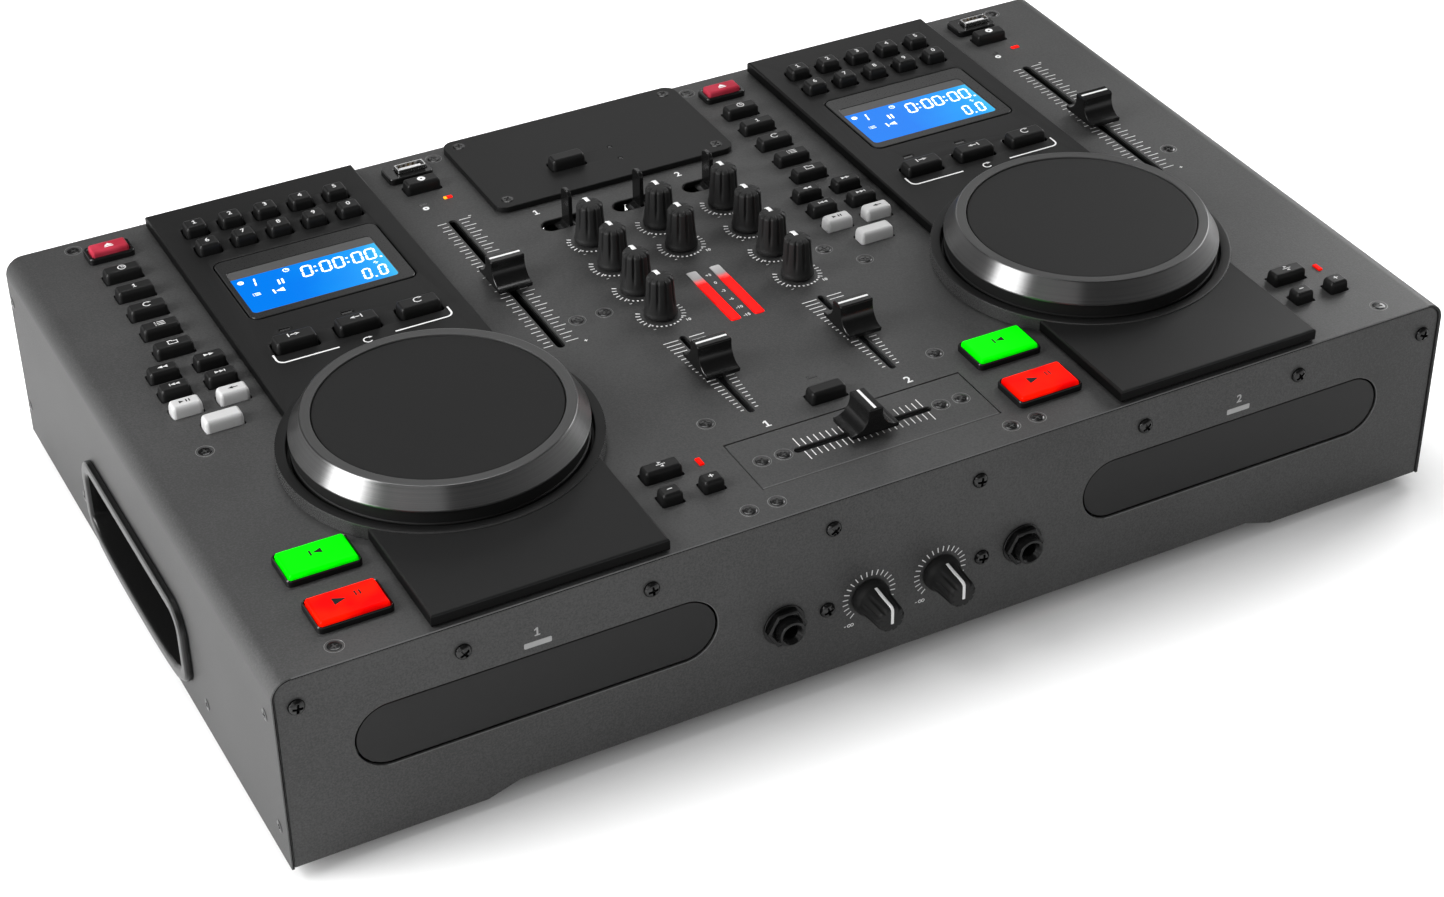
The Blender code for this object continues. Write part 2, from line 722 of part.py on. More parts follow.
def base_plate():
    """Flat base inside the cover's sides, with air slots under both drives and four round feet."""
    side = CASE_WIDTH / 2 - SHEET - GAP
    depth = (FRONT_FACE + SHEET + GAP, REAR_FACE - SHEET - GAP)
    slab = box((-side, side), depth, (BASE_LOW, BASE_LOW + SHEET))
    base = place("base_plate", slab, "panel_paint")
    cuts = []
    for side_x in TRAY_X.values():
        for step in range(BASE_VENTS):
            x = side_x + (step - (BASE_VENTS - 1) / 2) * VENT_PITCH
            cuts.append(column((x, BASE_VENT_Y), VENT_SLOT, (BASE_LOW - 0.002, BASE_LOW + SHEET + 0.002)))
    combine(base, joined(cuts))
    high = BASE_LOW + JOIN
    foot = turned([(0, high), (FOOT_RADIUS, high), (FOOT_RADIUS, FOOT_CHAMFER - FOOT_HEIGHT),
                   (FOOT_RADIUS - FOOT_CHAMFER, -FOOT_HEIGHT), (0, -FOOT_HEIGHT)], 16)
    spots = [(x, y) for x in (-FOOT_X, FOOT_X) for y in (-FOOT_Y, FOOT_Y)]
    combine(base, joined([moved(foot, x, y) for x, y in spots]), "UNION")


def deck_bezel(side):
    """Raised plate of a deck with the jog wheel's round well, the screen window and key holes."""
    middle = (BEZEL_FRONT + BEZEL_BACK) / 2
    slab = key((0, middle), (BEZEL_WIDTH, BEZEL_BACK - BEZEL_FRONT), (GAP, BEZEL_HEIGHT), BEZEL_CHAMFER)
    bezel = place("deck_bezel_" + side, slab, "black_plastic", (DECK_X[side], 0, TOP))
    combine(bezel, cylinder((0, JOG_Y), (WELL_RADIUS + RING_RADIUS) / 2, (-0.002, 0.010), JOG_STEPS))
    ring = [(WELL_RADIUS, RING_HEIGHT), (RING_RADIUS - RING_CHAMFER, RING_HEIGHT),
            (RING_RADIUS, RING_HEIGHT - RING_CHAMFER), (RING_RADIUS, GAP), (BEARING_RADIUS, GAP),
            (BEARING_RADIUS, WELL_FLOOR), (WELL_RADIUS, WELL_FLOOR)]
    combine(bezel, moved(turned(ring, JOG_STEPS, closed=True), y=JOG_Y), "UNION")
    through = (-0.002, BEZEL_HEIGHT + 0.002)
    cuts = [column(WINDOW_CENTRE, WINDOW_SIZE, through)]
    for spot, size in bezel_key_places():
        cuts.append(column(spot, grown(size, 2 * KEY_TRAVEL_ROOM), through))
    combine(bezel, joined(cuts))


def channel_body(centre, length, low, along="Y"):
    """A slide potentiometer's body under the cover, open on top for the fader's stem."""
    half = FADER_BODY_WIDTH / 2
    slot = STEM[0] / 2 + 0.001
    high = INNER_TOP - GAP
    floor = high - FADER_BODY_DEPTH
    outline = [(-half, low), (half, low), (half, high), (slot, high), (slot, floor), (-slot, floor),
               (-slot, high), (-half, high)]
    shape = plate([outline], (-length / 2, length / 2), "XZ")
    turn = Matrix.Rotation(math.pi / 2, 4, "Z") if along == "X" else None
    return moved(shape, centre[0], centre[1], 0, turn)


def display_board(side):
    """Deck board: the screen in the bezel's window, the memory socket and the pitch fader's body."""
    x = DECK_X[side]
    board_top = TOP + DECK_BOARD_TOP
    outline = [(x + u, v) for u, v in DECK_BOARD_OUTLINE]
    span = (board_top - BOARD_THICKNESS, board_top)
    board = place("display_board_" + side, plate([outline], span), "board_green")
    low = board_top - JOIN
    screen = column(at_deck(side, WINDOW_CENTRE), grown(WINDOW_SIZE, -2 * GAP), (low, TOP + SCREEN_TOP))
    combine(board, screen, "UNION")
    length = PITCH_SLOT[1] + FADER_BODY_EXTRA
    combine(board, channel_body(at_deck(side, (PITCH_SLOT_X, PITCH_SLOT_Y)), length, low), "UNION")
    u, v = at_deck(side, USB_PLACE)
    combine(board, column((u, v), USB_SHELL, (low, TOP + USB_TOP)), "UNION")
    floor = TOP - USB_CAVITY
    combine(board, column((u, v), grown(USB_SHELL, -2 * USB_WALL), (floor, TOP + USB_TOP + 0.001)))
    tongue = column((u, v + USB_TONGUE_SHIFT), USB_TONGUE, (floor - JOIN, TOP + USB_TOP - 0.001))
    combine(board, tongue, "UNION")


def jog_wheel(side):
    """Jog wheel: a hollow turned dish on a stub shaft in the well's bearing."""
    profile = [(0, JOG_TOP - PAD_SINK), (PAD_RADIUS, JOG_TOP - PAD_SINK), (PAD_RADIUS, JOG_TOP),
               (JOG_TOP_RADIUS, JOG_TOP), (JOG_RADIUS, JOG_SHOULDER),
               (JOG_RADIUS, JOG_BOTTOM), (JOG_RADIUS - JOG_WALL, JOG_BOTTOM),
               (JOG_RADIUS - JOG_WALL, JOG_SHOULDER - 0.001),
               (JOG_TOP_RADIUS - JOG_WALL, JOG_TOP - JOG_SKIN), (JOG_SHAFT_RADIUS, JOG_TOP - JOG_SKIN),
               (JOG_SHAFT_RADIUS, -JOG_SHAFT_DEPTH), (0, -JOG_SHAFT_DEPTH)]
    spot = (DECK_X[side], JOG_Y, TOP)
    place("jog_wheel_" + side, turned(profile, JOG_STEPS), "jog_metal", spot, smooth=True)


def key_bank(name, keys, carrier, low, high, location):
    """A bank of keys moulded on one carrier: the carrier's outlines, then each (place, size) key."""
    bank = place(name, plate(carrier, (low, low + CARRIER_THICKNESS)), "key_black", location)
    caps = [key(spot, size, (low + JOIN, high)) for spot, size in keys]
    combine(bank, joined(caps), "UNION")


def key_banks(side):
    """The banks of keys of a deck: on the bezel, in the column beside it and by the pitch fader."""
    spot = (DECK_X[side], 0, TOP)
    low = BEZEL_CARRIER_TOP - CARRIER_THICKNESS
    frame = rectangle(DECK_OPENING_CENTRE, grown(DECK_OPENING, -2 * BEZEL_CARRIER_INSET))
    window = rectangle(WINDOW_CENTRE, grown(WINDOW_SIZE, 2 * BEZEL_CARRIER_WINDOW))
    key_bank("number_keys_" + side, bezel_key_places(), [frame, window], low, NUMBER_KEY_TOP, spot)
    low = CARRIER_TOP - CARRIER_THICKNESS
    for name, keys in (("column_keys_", column_key_places()), ("pitch_keys_", pitch_key_places())):
        key_bank(name + side, keys, [carrier_outline(keys)], low, KEY_TOP, spot)


def carrier_outline(keys):
    """The rectangle round a bank's keys, with a small margin."""
    left = min(x - size[0] / 2 for (x, _), size in keys) - CARRIER_MARGIN
    right = max(x + size[0] / 2 for (x, _), size in keys) + CARRIER_MARGIN
    front = min(y - size[1] / 2 for (_, y), size in keys) - CARRIER_MARGIN
    back = max(y + size[1] / 2 for (_, y), size in keys) + CARRIER_MARGIN
    return [(left, front), (right, front), (right, back), (left, back)]


def flanged_key(name, x, y, size, top, finish, low=None):
    """A single key with the flange under its panel that keeps it from lifting out."""
    if low is None:
        low = CARRIER_TOP - CARRIER_THICKNESS
    cap = place(name, key((0, 0), size, (low + JOIN, top)), finish, (x, y, TOP))
    combine(cap, column((0, 0), grown(size, 2 * CARRIER_MARGIN), (low, low + CARRIER_THICKNESS)), "UNION")


def single_keys():
    """Cue, play, eject and source keys of each deck, the pairing key and the fader start key."""
    buttons = {"cue_button_": (CUE_PLACE, BIG_CAP, BIG_CAP_TOP, "cue_green"),
               "play_button_": (PLAY_PLACE, BIG_CAP, BIG_CAP_TOP, "play_red"),
               "eject_button_": (EJECT_PLACE, EJECT_CAP, EJECT_CAP_TOP, "eject_red"),
               "source_key_": (SOURCE_KEY, WIDE_KEY, KEY_TOP, "key_black")}
    for side in DECK_X:
        for name, (spot, size, top, finish) in buttons.items():
            flanged_key(name + side, *at_deck(side, spot), size, top, finish)
    flanged_key("pairing_key", *MODULE_KEY, WIDE_KEY, MODULE_KEY_TOP, "key_black", -0.0015)
    flanged_key("fader_start_key", *START_KEY, WIDE_KEY, KEY_TOP, "key_black")


def fader_cap_outline():
    """Side view of a fader cap: a narrow ridge on top, and hollow flanks that flare to the base."""
    half = CAP_DEPTH / 2
    ridge = CAP_RIDGE / 2
    lip = CAP_LOW + CAP_LIP
    shoulder = CAP_TOP - CAP_SHOULDER
    right = [(ridge - CAP_EDGE, CAP_TOP), (ridge, CAP_TOP - CAP_EDGE)]
    for i in range(5):
        angle = math.radians(90 * i / 4)
        out = ridge + (half - ridge) * (1 - math.cos(angle))
        down = shoulder - (shoulder - lip) * math.sin(angle)
        right.append((out, down))
    right.append((half, CAP_LOW))
    left = [(-x, z) for x, z in reversed(right)]
    return right + left


def fader(name, x, y, along="Y"):
    """A fader: the flared cap with its flat stem, in a slot that runs along the given axis."""
    cap = plate([fader_cap_outline()], (-CAP_WIDTH / 2, CAP_WIDTH / 2), "YZ")
    turn = Matrix.Rotation(math.pi / 2, 4, "Z") if along == "X" else None
    stem = column((0, 0), STEM, (-STEM_DEPTH, CAP_LOW + 0.001))
    part = place(name, moved(cap, turn=turn), "key_black", (x, y, TOP))
    combine(part, moved(stem, turn=turn), "UNION")


def faders():
    for side, x in DECK_X.items():
        fader("pitch_fader_" + side, x + PITCH_SLOT_X, PITCH_REST)
        fader("channel_fader_" + side, CHANNEL_SLOT_X[side], CHANNEL_REST[side])
    fader("crossfader", CROSS_REST, CROSS_SLOT_Y, "X")


def crossfader_plate():
    """Flush plate of the crossfader, with its slot."""
    outlines = [rectangle((0, CROSS_SLOT_Y), CROSS_PLATE), stadium((0, CROSS_SLOT_Y), CROSS_SLOT, 4)]
    place("crossfader_plate", plate(outlines, (INNER_TOP, TOP)), "cover_paint")


def fluted_knob(sections):
    """A tapered knob about z: a round skirt under a fluted grip, each section a ring of points."""
    count = 2 * KNOB_FLUTES
    bm = bmesh.new()
    rings = []
    for crest, valley, height in sections:
        ring = []
        for i in range(count):
            radius = crest if i % 2 == 0 else valley
            angle = 2 * math.pi * i / count
            ring.append(bm.verts.new((radius * math.cos(angle), radius * math.sin(angle), height)))
        rings.append(ring)
    for lower, upper in zip(rings, rings[1:]):
        for i in range(count):
            j = (i + 1) % count
            bm.faces.new((lower[i], lower[j], upper[j], upper[i]))
    bm.faces.new(rings[-1])
    bm.faces.new(reversed(rings[0]))
    mesh = bpy.data.meshes.new("knob")
    bm.to_mesh(mesh)
    bm.free()
    return mesh


def knob(name, location, sections, turn=None):
    """A knob with the stub of its shaft, which turns in the potentiometer's bush."""
    shaft = cylinder((0, 0), SHAFT_RADIUS, (-SHAFT_DEPTH, sections[0][2] + 0.001), 8)
    part = place(name, moved(fluted_knob(sections), turn=turn), "key_black", location)
    combine(part, moved(shaft, turn=turn), "UNION")


def knobs():
    for name, (x, y) in knob_places().items():
        knob(name, (x, y, TOP), KNOB_SECTIONS)
    facing_front = Matrix.Rotation(math.pi / 2, 4, "X")
    for name, x in KNOB_X.items():
        knob(name + "_level_knob", (x, FRONT_FACE, FRONT_ROW_Z), FRONT_KNOB_SECTIONS, facing_front)


def toggle_outline():
    """Front view of a lever about its pivot: hub, neck, curved dust shield and straight blade."""
    half = TOGGLE_BLADE / 2
    inner = TOGGLE_SHIELD - TOGGLE_SHIELD_THICKNESS
    end = 90 - TOGGLE_SHIELD_REACH
    hub = arc((0, 0), TOGGLE_HUB, 115, 425, 8)
    right = [(half, inner)]
    right.append((inner * math.cos(math.radians(end)), inner * math.sin(math.radians(end))))
    right += arc((0, 0), TOGGLE_SHIELD, end, 85, 2)
    right += [(half, TOGGLE_SHIELD), (half, TOGGLE_PIVOT + TOGGLE_TOP)]
    left = [(-x, z) for x, z in reversed(right)]
    return hub + right + left


def toggle(side):
    """Paddle lever of a selector switch; its origin is the pivot under the cover."""
    mesh = plate([toggle_outline()], (-TOGGLE_WIDTH / 2, TOGGLE_WIDTH / 2), "XZ")
    bm = bmesh.new()
    bm.from_mesh(mesh)
    bmesh.ops.dissolve_limit(bm, angle_limit=0.001, verts=bm.verts, edges=bm.edges)
    level = TOGGLE_PIVOT + TOGGLE_TOP - 0.0001
    corners = [edge for edge in bm.edges if all(vert.co.z > level for vert in edge.verts)
               and abs(edge.verts[0].co.y - edge.verts[1].co.y) < 1e-6
               and abs(edge.verts[0].co.x - edge.verts[1].co.x) > 1e-5]
    bmesh.ops.bevel(bm, geom=corners, offset=TOGGLE_ROUNDING, segments=2, affect="EDGES", profile=0.5)
    bm.to_mesh(mesh)
    bm.free()
    place("toggle_" + side, tidy(mesh), "key_black", (TOGGLE_X[side], TOGGLE_Y, TOP - TOGGLE_PIVOT))


def module_plate():
    """Wireless receiver plate screwed onto the cover, with the hole for its key."""
    outlines = [rectangle((0, MODULE_Y), MODULE_SIZE, MODULE_CORNER, 4)]
    outlines.append(rectangle(MODULE_KEY, grown(WIDE_KEY, 2 * KEY_TRAVEL_ROOM)))
    place("module_plate", plate(outlines, (TOP + GAP, TOP + MODULE_HEIGHT)), "black_plastic")


def side_handle(side, direction):
    """Moulded cup handle: a proud rim round a cup that reaches into the case."""
    wall = direction * CASE_WIDTH / 2
    face = wall + direction * (GAP + HANDLE_PROUD)
    inner = wall - direction * HANDLE_DEPTH
    rim = plate([side_handle_outline(HANDLE_RIM)], sorted((wall + direction * GAP, face)), "YZ")
    cup = plate([side_handle_outline(HANDLE_WALL)], sorted((face - direction * 0.001, inner)), "YZ")
    hollow = plate([side_handle_outline(0.0)],
                   sorted((face + direction * 0.002, inner + direction * HANDLE_WALL)), "YZ")
    handle = place("handle_" + side, rim, "black_plastic")
    combine(handle, cup, "UNION")
    combine(handle, hollow)


def disc_drive(side):
    """Drive chassis: folded metal tunnel for the tray, on two legs, closed at the back."""
    half = DRIVE_WIDTH / 2
    leg = BASE_LOW + SHEET + GAP
    inner = half - SHEET
    edge = [(-half, leg), (-inner, leg), (-inner, DRIVE_LOW), (inner, DRIVE_LOW), (inner, leg), (half, leg),
            (half, DRIVE_HIGH), (-half, DRIVE_HIGH)]
    tunnel = rectangle((0, (DRIVE_LOW + DRIVE_HIGH) / 2), (2 * inner, DRIVE_HIGH - DRIVE_LOW - 2 * SHEET))
    chassis = plate([edge, tunnel], (DRIVE_FRONT, DRIVE_BACK), "XZ")
    drive = place("disc_drive_" + side, chassis, "bright_metal", (TRAY_X[side], 0, 0))
    wall = box((-half + JOIN, half - JOIN), (DRIVE_BACK - SHEET, DRIVE_BACK - GAP),
               (DRIVE_LOW + JOIN, DRIVE_HIGH - JOIN))
    combine(drive, wall, "UNION")


def disc_tray(side):
    """Tray with its stadium door, the disc's round dish and the slot for spindle and laser."""
    back_of_door = FRONT_FACE + DOOR_SETBACK + DOOR_THICKNESS
    door_size = (SLOT_WIDTH - 2 * DOOR_CLEARANCE, SLOT_HEIGHT - 2 * DOOR_CLEARANCE)
    door = plate([stadium((0, SLOT_Z), door_size, 10)], (back_of_door - DOOR_THICKNESS, back_of_door), "XZ")
    tray = place("disc_tray_" + side, door, "black_plastic", (TRAY_X[side], 0, 0))
    half = TRAY_WIDTH / 2
    slab = box((-half, half), (back_of_door - 0.001, back_of_door + TRAY_LENGTH),
               (TRAY_TOP - TRAY_THICKNESS, TRAY_TOP))
    combine(tray, slab, "UNION")
    middle = back_of_door + DISH_FROM_DOOR
    combine(tray, cylinder((0, middle), DISH_RADIUS, (TRAY_TOP - DISH_DEPTH, TRAY_TOP + 0.002), 40))
    laser = column((0, middle + LASER_SHIFT), LASER_SLOT, (DRIVE_LOW, TRAY_TOP + 0.003))
    combine(tray, laser)


def potentiometer(board_top):
    """A rotary potentiometer about z, its panel face at zero and its foot on a board."""
    foot = board_top - JOIN
    floor = -SHAFT_DEPTH - 0.0005
    return turned([(BUSH_BORE, BUSH_TOP), (BUSH_RADIUS, BUSH_TOP), (BUSH_RADIUS, -POT_TOP),
                   (POT_RADIUS, -POT_TOP), (POT_RADIUS, foot), (0, foot), (0, floor), (BUSH_BORE, floor),
                   (BUSH_BORE, BUSH_TOP)], 8)


def front_board():
    """Board behind the front panel with both jacks, their barrels and nuts, and two potentiometers."""
    facing_front = Matrix.Rotation(math.pi / 2, 4, "X")
    board_y = FRONT_FACE + FRONT_BOARD_DEPTH
    outline = rectangle((0, FRONT_ROW_Z), FRONT_BOARD)
    board = place("front_board", plate([outline], (board_y, board_y + BOARD_THICKNESS), "XZ"), "board_green")
    half = JACK_BODY[0] / 2
    behind = -SHEET - GAP
    barrel = cylinder((0, 0), JACK_BARREL, (behind - JOIN, JACK_REACH), 16)
    body = box((-half, half), (-half, half), (-JACK_BODY[1], behind))
    nut = cylinder((0, 0), JACK_NUT, (GAP, JACK_NUT_THICKNESS), 6)
    bore = cylinder((0, 0), JACK_BORE, (JACK_FLOOR, JACK_REACH + 0.001), 12)
    spots = [(x, FRONT_FACE, FRONT_ROW_Z) for x in JACK_X.values()]
    for shape in (body, barrel, nut):
        combine(board, joined([moved(shape, *spot, facing_front) for spot in spots]), "UNION")
    pot = potentiometer(-FRONT_BOARD_DEPTH)
    pots = [moved(pot, x, FRONT_FACE, FRONT_ROW_Z, facing_front) for x in KNOB_X.values()]
    combine(board, joined(pots), "UNION")
    combine(board, joined([moved(bore, *spot, facing_front) for spot in spots]))


def mixer_board():
    """Mixer board with potentiometers, fader bodies, switch cheeks and the level meter's light bars."""
    board_top = TOP + MIXER_BOARD_TOP
    outline = rectangle((0, MIXER_BOARD_Y), MIXER_BOARD)
    board = place("mixer_board", plate([outline], (board_top - BOARD_THICKNESS, board_top)), "board_green")
    pot = potentiometer(MIXER_BOARD_TOP)
    combine(board, joined([moved(pot, x, y, TOP) for x, y in knob_places().values()]), "UNION")
    low = board_top - JOIN
    cheeks = []
    for x in TOGGLE_X.values():
        for cheek in (-1, 1):
            y = TOGGLE_Y + cheek * (TOGGLE_WIDTH / 2 + SWITCH_CHEEK_ROOM + SWITCH_CHEEK[1] / 2)
            cheeks.append(column((x, y), SWITCH_CHEEK, (low, TOP + SWITCH_CHEEK_TOP)))
    combine(board, joined(cheeks), "UNION")
    length = CHANNEL_SLOT[1] + FADER_BODY_EXTRA
    bodies = [channel_body((x, CHANNEL_SLOT_Y), length, low) for x in CHANNEL_SLOT_X.values()]
    bodies.append(channel_body((0, CROSS_SLOT_Y), CROSS_SLOT[0] + FADER_BODY_EXTRA, low, "X"))
    combine(board, joined(bodies), "UNION")
    bars = [column((x, METER_Y), METER_BAR, (low, TOP)) for x in METER_BARS]
    combine(board, joined(bars), "UNION")


def line_sockets():
    """Eight round line sockets in four pairs on their board, standing through the rear panel."""
    facing_back = Matrix.Rotation(-math.pi / 2, 4, "X")
    front = REAR_FACE - SHEET - LINE_BOARD_DEPTH
    middle = (RCA_GROUPS[0] + RCA_GROUPS[-1]) / 2
    height = (RCA_ROWS[0] + RCA_ROWS[1]) / 2
    size = (RCA_GROUPS[-1] - RCA_GROUPS[0] + 2 * LINE_BOARD_MARGIN, LINE_BOARD_HEIGHT)
    outline = rectangle((middle, height), size)
    board = place("line_sockets", plate([outline], (front, front + BOARD_THICKNESS), "XZ"), "board_green")
    span = (front + 0.001, REAR_FACE - SHEET - GAP)
    housings = [plate([rectangle((x, height), RCA_HOUSING)], span, "XZ") for x in RCA_GROUPS]
    combine(board, joined(housings), "UNION")
    barrel = cylinder((0, 0), RCA_RADIUS, (-SHEET - 0.001, RCA_REACH), 12)
    bore = cylinder((0, 0), RCA_BORE, (0.001, RCA_REACH + 0.001), 8)
    spots = [(x, REAR_FACE, z) for x in RCA_GROUPS for z in RCA_ROWS]
    combine(board, joined([moved(barrel, *spot, facing_back) for spot in spots]), "UNION")
    combine(board, joined([moved(bore, *spot, facing_back) for spot in spots]))


def power_inlet():
    """Mains inlet and switch housing: a flange, the plug cavity with three pins, the rocker's well."""
    x = INLET_X
    z = INLET_Z
    flange = plate([rectangle((x, z), INLET_FLANGE, 0.002)], (REAR_FACE + GAP, REAR_FACE + INLET_PROUD), "XZ")
    inlet = place("power_inlet", flange, "key_black")
    body = plate([rectangle((x, z), INLET_BODY)], (REAR_FACE - INLET_DEPTH, REAR_FACE + 0.002), "XZ")
    combine(inlet, body, "UNION")
    back = REAR_FACE + INLET_PROUD + 0.001
    cavity_x = x + INLET_CAVITY_X
    floor = REAR_FACE + INLET_PROUD - INLET_CAVITY_DEPTH
    cavity = plate([rectangle((cavity_x, z), INLET_CAVITY)], (floor, back), "XZ")
    well = plate([rectangle((x + ROCKER_X, z), ROCKER_WELL)], (REAR_FACE - ROCKER_WELL_DEPTH, back), "XZ")
    combine(inlet, joined([cavity, well]))
    pins = []
    for pin_x, pin_z in PIN_PLACES:
        outline = rectangle((cavity_x + pin_x, z + pin_z), PIN_SIZE)
        pins.append(plate([outline], (floor - JOIN, REAR_FACE + 0.001), "XZ"))
    combine(inlet, joined(pins), "UNION")


def power_switch():
    """Rocker of the power switch, resting on its lower side; its origin is the rocker's axis."""
    half = ROCKER_HEIGHT / 2
    outline = [(0, ROCKER_DIP), (-half, ROCKER_PROUD)]
    outline += arc((0, 0), half, 180, 360, 8)
    outline.append((half, ROCKER_PROUD))
    rocker = plate([[(-v, u) for u, v in outline]], (-ROCKER_WIDTH / 2, ROCKER_WIDTH / 2), "YZ")
    turn = Matrix.Rotation(math.radians(ROCKER_TILT), 4, "X") @ Matrix.Rotation(math.pi, 4, "Z")
    place("power_switch", moved(rocker, turn=turn), "key_black", (INLET_X + ROCKER_X, REAR_FACE, INLET_Z))


def power_supply():
    """Supply board on the base with its transformer and a heat sink."""
    low = BASE_LOW + SHEET + GAP
    width, depth, thickness = SUPPLY_BOARD
    board = place("power_supply", box(width, depth, (low, low + thickness)), "board_green")
    parts_on_it = [box(x, y, (low + thickness - JOIN, top)) for x, y, top in (TRANSFORMER, HEAT_SINK)]
    combine(board, joined(parts_on_it), "UNION")


def build():
    """Make every part of the console."""
    top_cover()
    front_panel()
    rear_panel()
    base_plate()
    for side in DECK_X:
        deck_bezel(side)
        display_board(side)
        jog_wheel(side)
        key_banks(side)
        disc_drive(side)
        disc_tray(side)
    for side in TOGGLE_X:
        toggle(side)
    side_handle("left", -1)
    side_handle("right", 1)
    single_keys()
    faders()
    crossfader_plate()
    knobs()
    module_plate()
    front_board()
    mixer_board()
    line_sockets()
    power_inlet()
    power_switch()
    power_supply()


build()
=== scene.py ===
import math

import bmesh
import bpy
from mathutils import Matrix, Vector
from mathutils.geometry import tessellate_polygon

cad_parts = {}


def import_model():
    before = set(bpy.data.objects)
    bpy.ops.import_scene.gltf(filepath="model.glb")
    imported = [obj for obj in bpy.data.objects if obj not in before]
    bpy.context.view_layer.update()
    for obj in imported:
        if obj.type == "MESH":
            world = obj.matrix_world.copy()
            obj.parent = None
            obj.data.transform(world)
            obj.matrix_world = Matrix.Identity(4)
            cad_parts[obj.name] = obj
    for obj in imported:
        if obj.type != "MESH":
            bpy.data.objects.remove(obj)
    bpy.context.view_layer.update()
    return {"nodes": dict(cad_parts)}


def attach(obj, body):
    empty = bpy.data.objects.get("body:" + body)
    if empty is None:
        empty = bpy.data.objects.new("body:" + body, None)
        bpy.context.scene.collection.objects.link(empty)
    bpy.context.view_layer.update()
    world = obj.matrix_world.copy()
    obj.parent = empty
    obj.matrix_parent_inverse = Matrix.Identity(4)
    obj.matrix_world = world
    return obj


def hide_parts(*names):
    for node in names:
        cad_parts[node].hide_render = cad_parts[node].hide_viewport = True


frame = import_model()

# Sizes are millimetres in the case's own frame: x right, y back, z up from the cover's lower edge.
caseLift = Vector((0, 4, 7))    # the feet lift the case, and the knobs and sockets shift its middle
top = 91                        # upper face of the cover
deckX = {"left": -157, "right": 153.4}
jogY = -58.8
crossY = -130.6                 # middle of the crossfader
scene = bpy.context.scene


# Outlines: lists of flat points, anticlockwise
def arc(x, y, radius, start, end, steps):
    turns = [math.radians(start + (end - start) * i / steps) for i in range(steps + 1)]
    return [(x + radius * math.cos(a), y + radius * math.sin(a)) for a in turns]


def circle(x, y, radius, steps=48):
    return arc(x, y, radius, 0, 360, steps)[:-1]


def rect(x, y, width, depth, corner=0, steps=4):
    w, d = width / 2 - corner, depth / 2 - corner
    if corner == 0:
        return [(x - w, y - d), (x + w, y - d), (x + w, y + d), (x - w, y + d)]
    points = []
    for cx, cy, start in ((w, -d, -90), (w, d, 0), (-w, d, 90), (-w, -d, 180)):
        points += arc(x + cx, y + cy, corner, start, start + 90, steps)
    return points


def stadium(x, y, width, depth, steps=16):
    radius = min(width, depth) / 2
    if width > depth:
        reach = width / 2 - radius
        return arc(x + reach, y, radius, -90, 90, steps) + arc(x - reach, y, radius, 90, 270, steps)
    reach = depth / 2 - radius
    return arc(x, y + reach, radius, 0, 180, steps) + arc(x, y - reach, radius, 180, 360, steps)


def rounded(points, radius, steps=4):    # every corner of an outline made round
    result = []
    for i, here in enumerate(points):
        here = Vector(here)
        size = radius[i] if isinstance(radius, (list, tuple)) else radius
        before = (Vector(points[i - 1]) - here).normalized()
        after = (Vector(points[(i + 1) % len(points)]) - here).normalized()
        half = before.angle(after) / 2
        if size == 0 or half > math.radians(89):
            result.append(tuple(here))
            continue
        middle = here + (before + after).normalized() * (size / math.sin(half))
        first = here + before * (size / math.tan(half)) - middle
        turn = first.angle_signed(here + after * (size / math.tan(half)) - middle)
        for step in range(steps + 1):
            a = -turn * step / steps
            c, s = math.cos(a), math.sin(a)
            result.append((middle.x + first.x * c - first.y * s, middle.y + first.x * s + first.y * c))
    return result


def area(points):
    return sum(a[0] * b[1] - b[0] * a[1] for a, b in zip(points, points[1:] + points[:1])) / 2


def inset(points, amount):    # moved into the material, which lies left of the way round
    moved = []
    for i, here in enumerate(points):
        here = Vector(here)
        one = (here - Vector(points[i - 1])).normalized()
        two = (Vector(points[(i + 1) % len(points)]) - here).normalized()
        n1, n2 = Vector((-one.y, one.x)), Vector((-two.y, two.x))
        moved.append(tuple(here + (n1 + n2) * (amount / (1 + max(n1.dot(n2), -0.5)))))
    return moved


# Places: local z points out of the named face of the case
faceAxes = {"top": ((1, 0, 0), (0, 1, 0), (0, 0, 1)), "front": ((1, 0, 0), (0, 0, 1), (0, -1, 0)),
            "back": ((-1, 0, 0), (0, 0, 1), (0, 1, 0)), "left": ((0, -1, 0), (0, 0, 1), (-1, 0, 0)),
            "right": ((0, 1, 0), (0, 0, 1), (1, 0, 0))}


def at(x=0, y=0, z=0, face="top", turn=0):
    axes = Matrix(faceAxes[face]).transposed().to_4x4()
    return Matrix.Translation((x, y, z)) @ axes @ Matrix.Rotation(math.radians(turn), 4, "Z")


def onTop(*rings):    # rings with heights above the cover's face
    return [(amount, top + height) for amount, height in rings]


def bothEnds(half, *edge):    # the edge's rings at both ends of a slab about its middle
    first = [(amount, depth - half) for amount, depth in edge]
    return first + [(amount, half - depth) for amount, depth in edge[::-1]]


